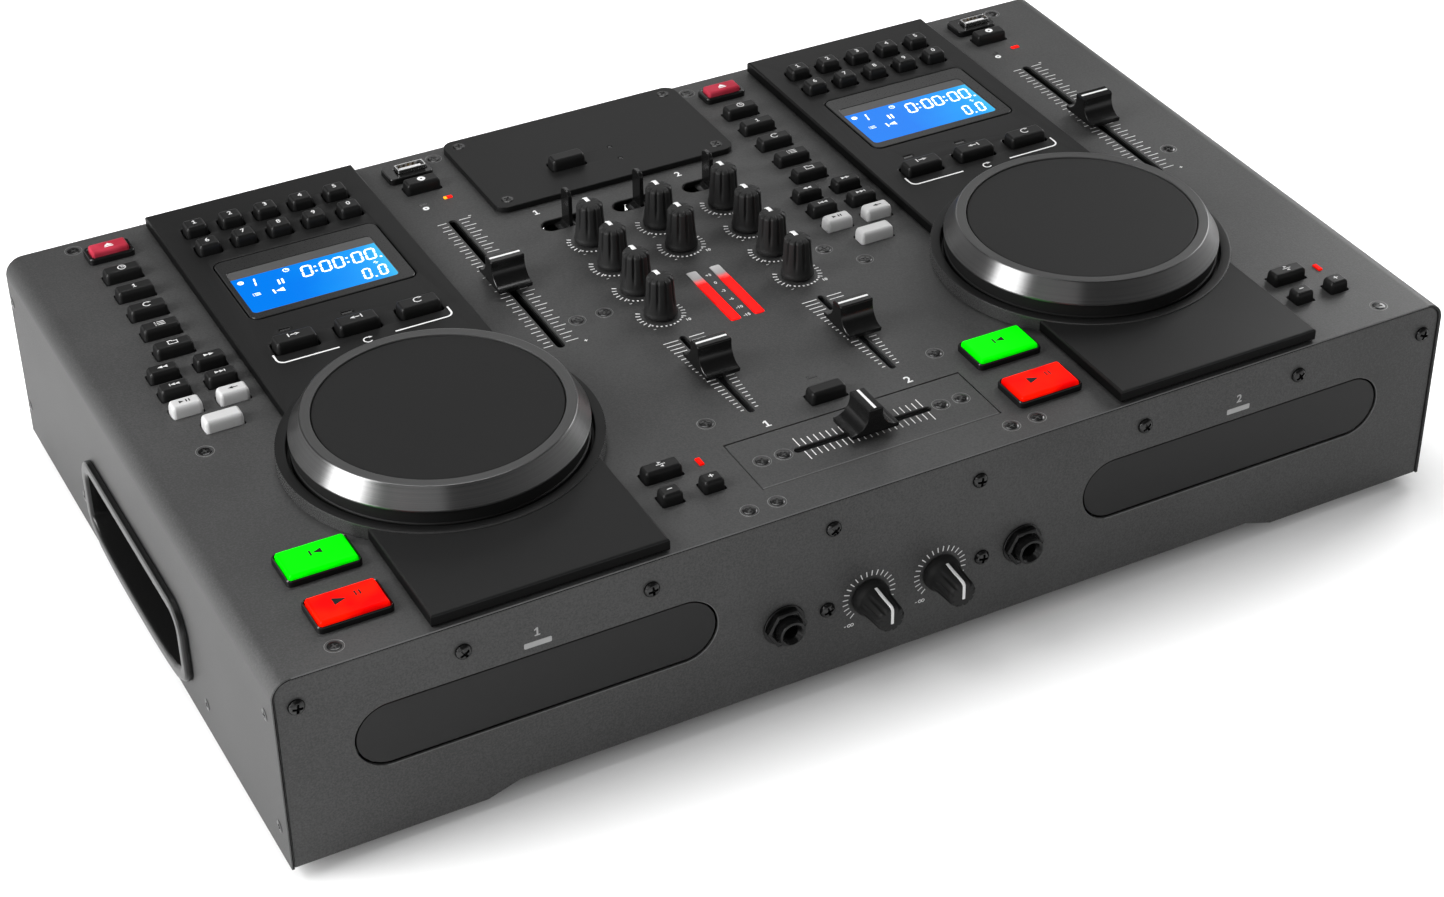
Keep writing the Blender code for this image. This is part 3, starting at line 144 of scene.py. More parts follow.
class Shape:    # closed shells in millimetres, each face with the number of its finish
    def __init__(self):
        self.points, self.faces, self.finishes = [], [], []

    def add(self, points, faces, finish=0, place=None):
        start = len(self.points)
        self.points += [place @ Vector(p) if place else Vector(p) for p in points]
        self.faces += [[start + i for i in face] for face in faces]
        self.finishes += [finish] * len(faces)
        return self

    def slab(self, outlines, rings, finish=0, place=None):
        # rings are (inset, height) pairs: the outlines are lofted through them and capped
        loops = [list(o) if (area(o) > 0) == (i == 0) else list(o)[::-1] for i, o in enumerate(outlines)]
        count = sum(len(loop) for loop in loops)
        points, faces = [], []
        for amount, height in rings:
            for loop in loops:
                points += [(x, y, height) for x, y in inset(loop, amount)]
        for ring in range(len(rings) - 1):
            start = ring * count
            for loop in loops:
                size = len(loop)
                for i in range(size):
                    j = (i + 1) % size
                    faces.append((start + i, start + j, start + count + j, start + count + i))
                start += size
        for ring in (0, len(rings) - 1):
            first, flat = ring * count, []
            for loop in loops:
                flat.append([Vector(points[first + i]) for i in range(len(loop))])
                first += len(loop)
            triangles = tessellate_polygon(flat)
            base = ring * count
            for tri in triangles:
                a, b, c = (Vector(points[base + i]) for i in tri)
                up = (b - a).cross(c - a).z > 0
                faces.append([base + i for i in (tri if up == (ring > 0) else tri[::-1])])
        return self.add(points, faces, finish, place)

    def block(self, outlines, low, high, finish=0, place=None):    # the same from end to end
        return self.slab(outlines, [(0, low), (0, high)], finish, place)

    def turned(self, profile, steps=64, finish=0, place=None):    # (radius, height) pairs round local z
        points, rows, faces = [], [], []
        for radius, height in profile:
            if radius < 1e-6:
                rows.append([len(points)] * steps)
                points.append((0, 0, height))
                continue
            rows.append(list(range(len(points), len(points) + steps)))
            points += [(x, y, height) for x, y in circle(0, 0, radius, steps)]
        closed = profile[0][0] > 1e-6
        for one, two in zip(rows, rows[1:] + (rows[:1] if closed else [])):
            for i in range(steps):
                j = (i + 1) % steps
                face = list(dict.fromkeys((one[i], one[j], two[j], two[i])))
                if len(face) > 2:
                    faces.append(face)
        return self.add(points, faces, finish, place)

    def paint(self, finish, chosen):    # the faces whose every corner is chosen take another finish
        for i, face in enumerate(self.faces):
            if all(chosen(self.points[corner]) for corner in face):
                self.finishes[i] = finish
        return self

    def mesh(self, name):
        mesh = bpy.data.meshes.new(name)
        mesh.from_pydata([(p + caseLift) * 0.001 for p in self.points], [], self.faces)
        for face, finish in zip(mesh.polygons, self.finishes):
            face.material_index = finish
        return mesh

    def take(self, mesh, finish=0, place=None):    # a mesh in millimetres about its own origin
        faces = [list(face.vertices) for face in mesh.polygons]
        return self.add([v.co.copy() for v in mesh.vertices], faces, finish, place)


def tidyMesh(mesh):    # doubles merged, faces turned outwards
    bm = bmesh.new()
    bm.from_mesh(mesh)
    bmesh.ops.remove_doubles(bm, verts=bm.verts, dist=1e-7)
    bmesh.ops.dissolve_degenerate(bm, edges=bm.edges, dist=1e-7)
    bmesh.ops.recalc_face_normals(bm, faces=bm.faces)
    bm.to_mesh(mesh)
    bm.free()
    return mesh


def evaluated(thing):
    graph = bpy.context.evaluated_depsgraph_get()
    return bpy.data.meshes.new_from_object(thing.evaluated_get(graph), depsgraph=graph)


def newObject(name, mesh):
    thing = bpy.data.objects.new(name, mesh)
    scene.collection.objects.link(thing)
    return thing


def softNormals(mesh, angle):    # smooth where faces meet at less than the angle, flat faces kept flat
    mesh.shade_smooth()
    mesh.set_sharp_from_angle(angle=math.radians(angle))
    thing = newObject("normals", mesh)
    weighted = thing.modifiers.new("weighted", "WEIGHTED_NORMAL")
    weighted.keep_sharp = True
    weighted.weight = 80
    result = evaluated(thing)
    bpy.data.objects.remove(thing)
    return result


def makePiece(name, source, finishes, body="case", nodes=(), angle=32):
    # a moving piece takes the place of its body's node, and one on the case names the nodes it replaces
    mesh = source.mesh(name) if isinstance(source, Shape) else source
    if len(mesh.materials):
        mesh.materials.clear()
    for look in finishes.split():
        mesh.materials.append(finish[look])
    mesh = softNormals(tidyMesh(mesh), angle)
    mesh.name = name
    piece = newObject(name, mesh)
    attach(piece, body)
    if nodes or body != "case":
        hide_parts(*(nodes or [body]))
    return piece


def cutAway(mesh, cutter):    # one exact Boolean, with every hole in one cutter
    thing = newObject("cut", tidyMesh(mesh))
    tool = newObject("cutter", tidyMesh(cutter))
    modifier = thing.modifiers.new("cut", "BOOLEAN")
    modifier.object = tool
    modifier.solver = "EXACT"
    result = evaluated(thing)
    bpy.data.objects.remove(thing)
    bpy.data.objects.remove(tool)
    return result


def glyph(body, size, thick):    # figures as a thin solid about the middle of the text
    curve = bpy.data.curves.new("glyph", "FONT")
    curve.body = body
    curve.size = size
    curve.extrude = thick / 2
    curve.offset = size * 0.018
    curve.resolution_u = 3
    curve.align_x = "CENTER"
    curve.align_y = "CENTER"
    thing = newObject("glyph", curve)
    mesh = tidyMesh(evaluated(thing))
    bpy.data.objects.remove(thing)
    low = [min(v.co[i] for v in mesh.vertices) for i in (0, 1)]
    high = [max(v.co[i] for v in mesh.vertices) for i in (0, 1)]
    mesh.transform(Matrix.Translation((-(low[0] + high[0]) / 2, -(low[1] + high[1]) / 2, 0)))
    return mesh


# Nodes: maths on a wire adds Math nodes, and one method makes every other node
def mathsOn(operation, swapped=False):
    def operate(self, other):
        return self.net.maths(operation, *((other, self) if swapped else (self, other)))
    return operate


class Wire:
    def __init__(self, net, socket):
        self.net, self.socket = net, socket

    def __getitem__(self, name):    # another output of the same node
        return Wire(self.net, self.socket.node.outputs[name])

    __add__ = __radd__ = mathsOn("ADD")
    __mul__ = __rmul__ = mathsOn("MULTIPLY")
    __sub__, __rsub__ = mathsOn("SUBTRACT"), mathsOn("SUBTRACT", swapped=True)
    __truediv__ = mathsOn("DIVIDE")
    __gt__ = mathsOn("GREATER_THAN")


class Net:
    def __init__(self, tree):
        self.tree = tree

    def node(self, kind, sockets=None, settings=None, output=0):
        made = self.tree.nodes.new(kind)
        for name, value in (settings or {}).items():
            setattr(made, name, value)
        for name, value in (sockets or {}).items():
            if isinstance(value, Wire):
                self.tree.links.new(value.socket, made.inputs[name])
            else:
                made.inputs[name].default_value = value
        return Wire(self, made.outputs[output]) if made.outputs else made

    def maths(self, operation, *values):
        return self.node("ShaderNodeMath", dict(enumerate(values)), {"operation": operation})

    def mix(self, factor, one, two):
        values = [v if isinstance(v, Wire) else (*v, 1) for v in (one, two)]
        return self.node("ShaderNodeMix", {0: factor, 6: values[0], 7: values[1]}, {"data_type": "RGBA"}, 2)

    def place(self):
        return self.node("ShaderNodeTexCoord", output="Object")

    def axes(self):    # x, y and z in metres
        return self.split(self.place())

    def noise(self, scale, detail=2, roughness=0.5, vector=None):
        sockets = {"Scale": scale, "Detail": detail, "Roughness": roughness, "Vector": vector or self.place()}
        return self.node("ShaderNodeTexNoise", sockets)

    def between(self, value, low, high, curve="LINEAR"):    # 0 at low, 1 at high, held outside
        settings = {"clamp": True, "interpolation_type": curve}
        return self.node("ShaderNodeMapRange", {0: value, 1: low, 2: high}, settings)

    def vector(self, x=0.0, y=0.0, z=0.0):
        return self.node("ShaderNodeCombineXYZ", {0: x, 1: y, 2: z})

    def split(self, vector):    # x, y and z of a vector
        parts = self.node("ShaderNodeSeparateXYZ", {0: vector})
        return parts, parts["Y"], parts["Z"]

    def bump(self, height, strength, distance):
        return self.node("ShaderNodeBump", {"Height": height, "Strength": strength, "Distance": distance})

    def onPoints(self, points, item, **values):
        return self.node("GeometryNodeInstanceOnPoints", {"Points": points, "Instance": item, **values})

    def cube(self):
        return self.node("GeometryNodeMeshCube", {"Size": (1, 1, 1)}, output="Mesh")

    def shader(self, sockets):
        values = {k: (*v, 1) if isinstance(v, tuple) and len(v) == 3 else v for k, v in sockets.items()}
        made = self.node("ShaderNodeBsdfPrincipled", values)
        self.node("ShaderNodeOutputMaterial", {"Surface": made})


def newFinish(name):
    material = bpy.data.materials.new(name)
    material.use_nodes = True
    material.node_tree.nodes.clear()
    return material, Net(material.node_tree)


print("helpers ready")

# Finishes: colour, how far it varies, roughness, the grain's size and depth in millimetres, gloss on top, metal
finishColumns = ("colour", "vary", "rough", "grain", "depth", "shine", "metal")
finishLooks = {
    "powderGrey": (0.0345, 0.34, 0.5, 0.85, 0.07),
    # a lighter copy of powderGrey: painted light for the front and rear sheets
    "powderFront": (0.048, 0.34, 0.5, 0.85, 0.07),
    "satinBlack": (0.006, 0.14, 0.44, 0.25, 0.006, 0.2),
    "ringBlack": (0.0065, 0.14, 0.42, 0.3, 0.004, 0.18),
    # a light grey for painted highlights along edges
    "edgeGrey": (0.13, 0.2, 0.4, 0.5, 0.01),
    # a lighter copy of the ring's black, a painted highlight on its outer wall
    "ringWall": (0.032, 0.14, 0.27, 0.3, 0.004),
    # a darker black for painted shade on end and side faces
    "sideBlack": (0.003, 0.14, 0.4, 0.25, 0.004, 0.06),
    "seatGrey": (0.24, 0.1, 0.32, 0.3, 0.004, 0.5, 0.65),
    "lensBlack": (0.0165, 0.1, 0.3, 0.6, 0.002, 0.3),
    "screenField": (0.075, 0.1, 0.34, 0.4, 0.001, 0.2),
    "doorBlack": (0.008, 0.12, 0.36, 0.3, 0.004, 0.35),
    "glossBlack": (0.006, 0.15, 0.22, 1.2, 0.004, 0.4),
    "rubberKey": (0.007, 0.2, 0.42, 0.18, 0.005, 0.25),
    "knobRubber": (0.011, 0.22, 0.6, 0.16, 0.007, 0.3),
    "greyKey": (0.5, 0.06, 0.38, 0.25, 0.004),
    "padBlack": (0.0085, 0.18, 0.62, 0.22, 0.01, 0.2),
    "wellBlack": (0.0045, 0.1, 0.6, 0.5, 0.003, 0.2),
    "whitePrint": (0.8, 0.06, 0.5, 0.2, 0.002),
    "keyPrint": (0.62, 0.1, 0.5, 0.2, 0.002),
    "greyPrint": (0.42, 0.06, 0.5, 0.2, 0.002),
    "blackPrint": (0.006, 0.06, 0.45, 0.2, 0.002, 0.2),
    "screwBlack": (0.06, 0.25, 0.2, 0.3, 0.006, 0.5, 0.9),
    "brightSteel": (0.62, 0.08, 0.24, 0.4, 0.003, 0.5, 1.0),
    "chassisMetal": (0.45, 0.12, 0.38, 2.5, 0.004, 0.5, 1.0),
    "contactGold": ((0.78, 0.52, 0.2), 0.08, 0.25, 0.3, 0.002, 0.5, 1.0),
    "socketRed": ((0.48, 0.02, 0.018), 0.1, 0.36, 0.3, 0.003),
    "socketWhite": (0.66, 0.05, 0.38, 0.3, 0.003),
    "boardGreen": ((0.018, 0.115, 0.045), 0.18, 0.42, 1.6, 0.01),
    "rubberFoot": (0.011, 0.2, 0.8, 0.35, 0.016),
    "lampOff": (0.03, 0.1, 0.25, 0.4, 0.002),
}
powder = {"spread": 0.10, "sparkle": 0.8, "size": 1.7, "light": 2.6}    # the lighter specks of a powder coat


def plainFinish(name, row):    # a fine grain in colour, roughness and relief, and a slow drift over the part
    material, net = newFinish(name)
    look = {"shine": 0.5, "metal": 0.0, **dict(zip(finishColumns, row))}
    colour = look["colour"] if isinstance(look["colour"], tuple) else (look["colour"],) * 3
    grain = net.noise(1000 / look["grain"], 3, 0.65)
    level = grain * 0.72 + net.noise(14, 2, 0.5) * 0.28
    dark = tuple(c * (1 - look["vary"]) for c in colour)
    light = tuple(min(1, c * (1 + look["vary"])) for c in colour)
    coated = name.startswith("powder")
    spread = powder["spread"] if coated else 0.2
    base = net.mix(net.between(level, 0.5 - spread, 0.5 + spread), dark, light)
    if coated:
        specks = net.between(net.noise(1000 / look["grain"] * powder["size"], 1, 0.5), 0.66, 0.80)
        base = net.mix(specks * powder["sparkle"], base, tuple(c * powder["light"] for c in colour))
    rough = net.between(grain, 0.2, 0.8) * 0.12 + (look["rough"] - 0.06)
    net.shader({"Base Color": base, "Roughness": rough, "Metallic": look["metal"],
                "Specular IOR Level": look["shine"], "Normal": net.bump(grain, 1.0, look["depth"] / 1000)})
    return material


finish = {name: plainFinish(name, look) for name, look in finishLooks.items()}

glowLooks = {"glowGreen": {"colour": (0.0, 0.90, 0.0), "edge": (0.0, 0.66, 0.0), "strength": 0.62},
             "glowRed": {"colour": (0.95, 0.006, 0.0), "edge": (0.62, 0.0, 0.0), "strength": 0.62},
             "lampRed": {"colour": (0.90, 0.006, 0.002), "edge": (0.60, 0.002, 0.0), "strength": 0.85},
             "lampAmber": {"colour": (1.0, 0.42, 0.02), "edge": (1.0, 0.16, 0.01), "strength": 1.0},
             "ejectRed": {"colour": (0.42, 0.034, 0.060), "edge": (0.33, 0.022, 0.04), "strength": 0.06}}


def glowFinish(name, look):    # a lit cap, a little uneven where the lamp under it is
    material, net = newFinish(name)
    cloud = net.noise(95, 1, 0.4)
    colour = net.mix(net.between(cloud, 0.36, 0.60), look["edge"], look["colour"])
    grain = net.noise(3000, 1, 0.5)
    net.shader({"Base Color": colour, "Roughness": grain * 0.08 + 0.30, "Emission Color": colour,
                "Emission Strength": look["strength"], "Specular IOR Level": 0.05,
                "Normal": net.bump(grain, 0.6, 0.000004)})
    return material


for name, look in glowLooks.items():
    finish[name] = glowFinish(name, look)

screenLook = {"left": (0.0, 0.215, 0.92), "right": (0.0, 0.40, 1.0), "end": (0.06, 0.62, 0.90), "strength": 0.95}


def screenFinish():    # the lit glass: deeper blue to the left, paler where its lamp sits at the right end
    material, net = newFinish("screenBlue")
    x, y, z = net.axes()
    along = net.maths("FLOORED_MODULO", x - (deckX["left"] - 37) / 1000, 0.3104)    # both screens alike
    across = net.between(along, 0.002, 0.070)
    across = across + (net.noise(60, 2, 0.5) - 0.5) * 0.30
    colour = net.mix(net.between(across, 0.35, 1.05), screenLook["left"], screenLook["right"])
    end = net.between(along, 0.058, 0.072)
    colour = net.mix(end * end, colour, screenLook["end"])
    dots = net.noise(2600, 0, 0.5)
    dark = net.mix(dots, (0.0, 0.010, 0.035), (0.0, 0.014, 0.045))
    net.shader({"Base Color": dark, "Roughness": dots * 0.05 + 0.14, "Emission Color": colour,
                "Specular IOR Level": 0.10, "Emission Strength": screenLook["strength"]})
    return material


finish["screenBlue"] = screenFinish()

jogLook = {"bevel": (0.15, 0.30, 1.0), "rim": (0.048, 0.46, 0.25), "groove": 0.16}    # grey, roughness, metal


def brushedFinish(name, grey, rough, metal):    # fine turning marks round the wheel
    material, net = newFinish(name)
    x, y, z = net.axes()
    side = x > 0
    cx = x - (side * (deckX["right"] - deckX["left"]) + deckX["left"]) / 1000
    cy = y - (jogY + caseLift.y) / 1000
    radius = net.maths("SQRT", cx * cx + cy * cy)
    line = net.vector(radius + z * -0.6, side * 0.02)
    marks = net.noise(1000 / jogLook["groove"], 2, 0.7, line)
    wide = net.noise(900, 2, 0.6, line)
    blend = marks * 0.6 + wide * 0.4
    dark, light = ((level * grey,) * 3 for level in (0.72, 1.22))
    base = net.mix(net.between(blend, 0.3, 0.7), dark, light)
    net.shader({"Base Color": base, "Metallic": metal,
                "Roughness": net.between(blend, 0.25, 0.75) * 0.12 + (rough - 0.06),
                "Anisotropic": 0.75 * metal, "Anisotropic Rotation": 0.25,
                "Normal": net.bump(marks, 0.35, 0.000006)})
    return material


finish["jogBevel"] = brushedFinish("jogBevel", *jogLook["bevel"])
finish["jogRim"] = brushedFinish("jogRim", *jogLook["rim"])


def meterFinish():    # lit red, and pale unlit bars at the loud end
    material, net = newFinish("meterLight")
    x, y, z = net.axes()
    cells = net.noise(700, 1, 0.5)
    level = net.between(y + cells * 0.0016, 0.0035 + 0.0008, 0.0085 + 0.0008)
    red = net.mix(cells, (0.86, 0.0, 0.0), (0.92, 0.004, 0.002))
    grey = net.mix(net.between(y, 0.005, 0.017), (0.30, 0.28, 0.28), (0.62, 0.62, 0.62))
    colour = net.mix(level, red, grey)
    glow = net.mix(level, red, (0.0, 0.0, 0.0))
    net.shader({"Base Color": colour, "Roughness": cells * 0.06 + 0.28, "Emission Color": glow,
                "Emission Strength": 0.70, "Specular IOR Level": 0.08})
    return material


finish["meterLight"] = meterFinish()

def nodeFinish(node, material):    # for the nodes that keep their shape
    materials = frame["nodes"][node].data.materials
    materials.clear()
    materials.append(material)


# A bare green board, and the metal parts that stand on it above a height in metres
boardLooks = {"mixerParts": {"node": "mixer_board", "above": 0.0760},
              "supplyParts": {"node": "power_supply", "above": 0.0155}}
for name, look in boardLooks.items():
    material, net = newFinish(name)
    x, y, z = net.axes()
    grain = net.noise(600, 3, 0.6)
    metal = z > look["above"]
    green = net.mix(net.between(grain, 0.3, 0.7), (0.012, 0.090, 0.035), (0.024, 0.140, 0.055))
    steel = net.mix(net.between(grain, 0.3, 0.7), (0.34, 0.34, 0.35), (0.48, 0.48, 0.50))
    net.shader({"Base Color": net.mix(metal, green, steel), "Metallic": metal, "Roughness": grain * 0.1 + 0.36,
                "Normal": net.bump(grain, 0.6, 0.00001)})
    nodeFinish(look["node"], material)

# The rear panel takes the front sheet's lighter powder coat, which is painted light
for node, look in (("rear_panel", "powderFront"), ("disc_drive_left", "chassisMetal"),
                   ("disc_drive_right", "chassisMetal"), ("power_switch", "glossBlack")):
    nodeFinish(node, finish[look])
print("finishes ready:", len(bpy.data.materials))


# Geometry Nodes: named inputs, one Set Material at the end, the result taken as a plain mesh
inputKinds = {int: "Int", float: "Float", tuple: "Vector", type(None): "Object"}


def newTree(name, inputs):    # every tree has a Material input too, and the value of an input gives its kind
    tree = bpy.data.node_groups.new(name, "GeometryNodeTree")
    sockets = tree.interface
    sockets.new_socket("Geometry", in_out="INPUT", socket_type="NodeSocketGeometry")
    for label, value in inputs.items():
        socket = sockets.new_socket(label, in_out="INPUT", socket_type="NodeSocket" + inputKinds[type(value)])
        if value is not None:
            socket.default_value = value
    sockets.new_socket("Material", in_out="INPUT", socket_type="NodeSocketMaterial")
    sockets.new_socket("Geometry", in_out="OUTPUT", socket_type="NodeSocketGeometry")
    net = Net(tree)
    return net, net.node("NodeGroupInput")


def endTree(net, start, geometry):    # Realize Instances and Set Material close every tree
    real = net.node("GeometryNodeRealizeInstances", {"Geometry": geometry})
    done = net.node("GeometryNodeSetMaterial", {"Geometry": real, "Material": start["Material"]})
    net.node("NodeGroupOutput", {"Geometry": done})
    return net.tree


def runTree(tree, base, values):    # inputs are set by their identifiers before the first evaluation
    thing = newObject("tree", base)
    modifier = thing.modifiers.new("nodes", "NODES")
    modifier.node_group = tree
    for item in tree.interface.items_tree:
        if item.item_type == "SOCKET" and item.in_out == "INPUT" and item.name in values:
            modifier[item.identifier] = values[item.name]
    mesh = evaluated(thing)
    bpy.data.objects.remove(thing)
    return mesh


def pointMesh(places, **attributes):    # loose points in millimetres, with a value each
    mesh = bpy.data.meshes.new("points")
    mesh.from_pydata([(Vector(p) + caseLift) / 1000 for p in places], [], [])
    for name, values in attributes.items():
        kind = "FLOAT_VECTOR" if isinstance(values[0], (tuple, list, Vector)) else "FLOAT"
        layer = mesh.attributes.new(name, kind, "POINT")
        flat = [c for v in values for c in v] if kind == "FLOAT_VECTOR" else values
        layer.data.foreach_set("vector" if kind == "FLOAT_VECTOR" else "value", flat)
    return mesh


def instanceTree():    # one small mesh on every point, turned by its own value, with a seeded extra turn
    net, start = newTree("repeatOnPoints", {"Item": None, "Extra Turn": 0.0, "Seed": 4})
    item = net.node("GeometryNodeObjectInfo", {"Object": start["Item"]}, output="Geometry")
    facing = net.node("GeometryNodeInputNamedAttribute", {"Name": "facing"}, {"data_type": "FLOAT_VECTOR"})
    spin = net.node("GeometryNodeInputNamedAttribute", {"Name": "spin"}, {"data_type": "FLOAT"})
    chance = net.node("FunctionNodeRandomValue", {2: 0.0, 3: start["Extra Turn"], "Seed": start["Seed"]},
                      {"data_type": "FLOAT"}, 1)
    placed = net.onPoints(start["Geometry"], item, Rotation=facing)
    spun = net.node("GeometryNodeRotateInstances", {"Instances": placed, "Rotation": net.vector(z=spin + chance)})
    return endTree(net, start, spun)


repeatTree = instanceTree()


def repeat(item, places, faces, spin, look, extraTurn=0.0):
    # item: a mesh in millimetres about its own origin; faces: the side of the case that each one sits on
    item.transform(Matrix.Scale(0.001, 4))
    source = newObject("item", item)
    turns = [tuple(at(face=face).to_euler()) for face in faces]
    base = pointMesh(places, facing=turns, spin=[math.radians(spin)] * len(places))
    mesh = runTree(repeatTree, base, {"Item": source, "Extra Turn": extraTurn, "Material": finish[look]})
    bpy.data.objects.remove(source)
    return mesh


def localMesh(shape):    # a Shape about its own origin, in millimetres
    mesh = bpy.data.meshes.new("local")
    mesh.from_pydata(shape.points, [], shape.faces)
    return tidyMesh(mesh)


# Cover: a folded sheet with round bends and every opening cut through it
coverLook = {"half": 272.5, "bend": 8.5, "sheet": 1.2, "depth": 336, "edge": 0.4, "bendSteps": 14, "low": -1.5}
controls = {    # sizes first, then places from the middle of a deck, then two places on the mixer
    "wide": (17, 8), "pair": (13.5, 7.8), "small": (9.5, 8), "usb": (14, 5.7), "usbFrame": (22, 14),
    "bigCap": (28.5, 17.5), "bigFrame": (31.2, 19.8), "ejectCap": (17, 8), "ejectFrame": (21.2, 12),
    "column": [(-72.9, y) for y in (128.4, 111.2, 94, 76.8, 60)],
    "pairs": [(x, y) for y in (43.7, 29.1, 15.2) for x in (-83.1, -62.6)],
    "bend": (-72.9, -0.9), "source": (74, 136.8), "pitch": (69.5, -119.4), "minus": (65.2, -136),
    "plus": (83.8, -136), "cue": (-73.2, -107.7), "play": (-73.2, -139.7), "eject": (-72.2, 149.6),
    "usbPlace": (74.5, 151.5), "usbFramePlace": (73, 152), "pitchX": 74.4,
    "start": (-1.5, -101.9), "pairing": (-16.2, 120.4)}
faderX = (-34, 34)
knobPlaces = {row + "_knob_" + side: (x, y) for side, x in zip(deckX, faderX)
              for row, y in (("level", 57.2), ("high", 33.8), ("mid", 10.4), ("low", -13))}
knobPlaces.update({"cue_mix_knob": (0, 55.8), "master_knob": (0, 33.8)})
toggleX, toggleY = {"left": -36.1, "centre": 0, "right": 36.1}, 77.5
meterBars = [(-6.9, -10.7), (4.7, -10.7)]


def coverShape():
    half, bend, sheet = coverLook["half"], coverLook["bend"], coverLook["sheet"]
    end, edge, low = coverLook["depth"] / 2, coverLook["edge"], coverLook["low"]
    steps = coverLook["bendSteps"]
    middle = half - bend
    high = top - bend
    outer = [(half, low)] + arc(middle, high, bend, 0, 90, steps)
    outer += arc(-middle, high, bend, 90, 180, steps) + [(-half, low)]
    inner = [(-half + sheet, low)] + arc(-middle, high, bend - sheet, 180, 90, steps)
    inner += arc(middle, high, bend - sheet, 90, 0, steps) + [(half - sheet, low)]
    rings = [(edge, -end), (0, edge - end), (0, end - edge), (edge, end)]
    shape = Shape().slab([outer + inner], rings, 0, at(face="front"))
    # Painted highlight: the bevel along the top's front edge takes a light grey
    shape.paint(1, lambda p: p.y < edge - end + 0.01 and p.z > top - edge - 0.01)
    # Painted shade: the sheet's front end face takes black
    return shape.paint(2, lambda p: p.y < 0.01 - end)


# Openings of the cover: places and sizes, and the gap round a key
openings = {"keyGap": 0.8, "keyCorner": 0.9, "pitch": (43.7, 4, 119.8), "deck": (91, 88.3, 134), "shaft": 8,
            "fader": (-65.3, 3.2, 65.4), "knob": 4.1, "toggle": (26.2, 10), "meter": (5.6, 44.4),
            "start": (17.8, 8.8), "crossfader": (0, crossY, 112.6, 34.6), "module": (0, 120.4, 70, 30)}


def coverCutter():
    o, corner = openings, openings["keyCorner"]
    caps = {"wide": controls["column"] + [controls["bend"], controls["source"], controls["pitch"]],
            "pair": controls["pairs"], "small": [controls["minus"], controls["plus"]],
            "bigCap": [controls["cue"], controls["play"]], "ejectCap": [controls["eject"]],
            "usb": [controls["usbPlace"]]}
    outlines = []
    for x in deckX.values():
        for key, places in caps.items():
            w, d = (size + o["keyGap"] for size in controls[key])
            outlines += [rect(x + u, v, w, d, corner) for u, v in places]
        outlines += [stadium(x + controls["pitchX"], *o["pitch"], 8), rect(x, *o["deck"]),
                     circle(x, jogY, o["shaft"], 24)]
    outlines += [stadium(x, *o["fader"], 8) for x in faderX]
    outlines += [circle(x, y, o["knob"], 24) for x, y in knobPlaces.values()]
    outlines += [stadium(x, toggleY, *o["toggle"], 16) for x in toggleX.values()]
    outlines += [rect(x, y, *o["meter"], corner) for x, y in meterBars]
    outlines += [rect(*controls["start"], *o["start"], corner), rect(*o["crossfader"]), rect(*o["module"])]
    cut = Shape()
    for outline in outlines:
        cut.slab([outline], onTop((0, -4), (0, 3)))
    for sign, face in ((-1, "left"), (1, "right")):
        mouth = handleOutline(sign)
        cut.block([inset(mouth, -2.5)], -4, 3, 0, at(sign * coverLook["half"], 0, 0, face))
    return cut


handleLook = {"y": 3, "mouth": 116.5, "top": 43.6, "ends": 18.4, "bow": 7.5, "corner": 7, "rim": 6.6,
              "proud": 3.3, "depth": 30, "wall": 2.2}


def handleOutline(sign):    # seen from outside the case, so it turns over on the left side
    h = handleLook
    half = h["mouth"] / 2
    points = []
    for i in range(13):    # the lower edge bows down in the middle
        u = -1 + i / 6
        points.append((half * u, h["ends"] - h["bow"] * math.sqrt(max(0, 1 - abs(u) ** 2.6)) ** 0.9))
    points += [(half, h["top"]), (-half, h["top"])]
    radii = [4] + [0] * 11 + [4, h["corner"], h["corner"]]
    points = [(sign * (u + h["y"]), v) for u, v in rounded(points, radii, 8)]
    return points if sign > 0 else points[::-1]


cover = cutAway(coverShape().mesh("cover"), coverCutter().mesh("cutter"))
makePiece("cover_sheet", cover, "powderGrey edgeGrey sideBlack", nodes=["top_cover"],
          angle=24)

frames = Shape()
frameRings = [(0, -0.2), (0, 2.1), (0.12, 2.55), (0.34, 2.88), (0.50, 3.0)]
for x in deckX.values():
    for kind, place in (("big", "cue"), ("big", "play"), ("eject", "eject")):
        u, v = controls[place]
        w, d = controls[kind + "Cap"]
        outlines = [rect(x + u, v, *controls[kind + "Frame"], 2.2, 6), rect(x + u, v, w + 0.5, d + 0.5, 1.4, 4)]
        frames.slab(outlines, frameRings, 0, at(z=top))
    u, v = controls["usbFramePlace"]
    a, b = controls["usbPlace"]
    w, d = controls["usb"]
    outlines = [rect(x + u, v, *controls["usbFrame"], 2.4, 6), rect(x + a, b, w + 0.4, d + 0.4, 0.5)]
    frames.slab(outlines, frameRings, 0, at(z=top))
makePiece("button_frames", frames, "glossBlack")
print("cover ready")

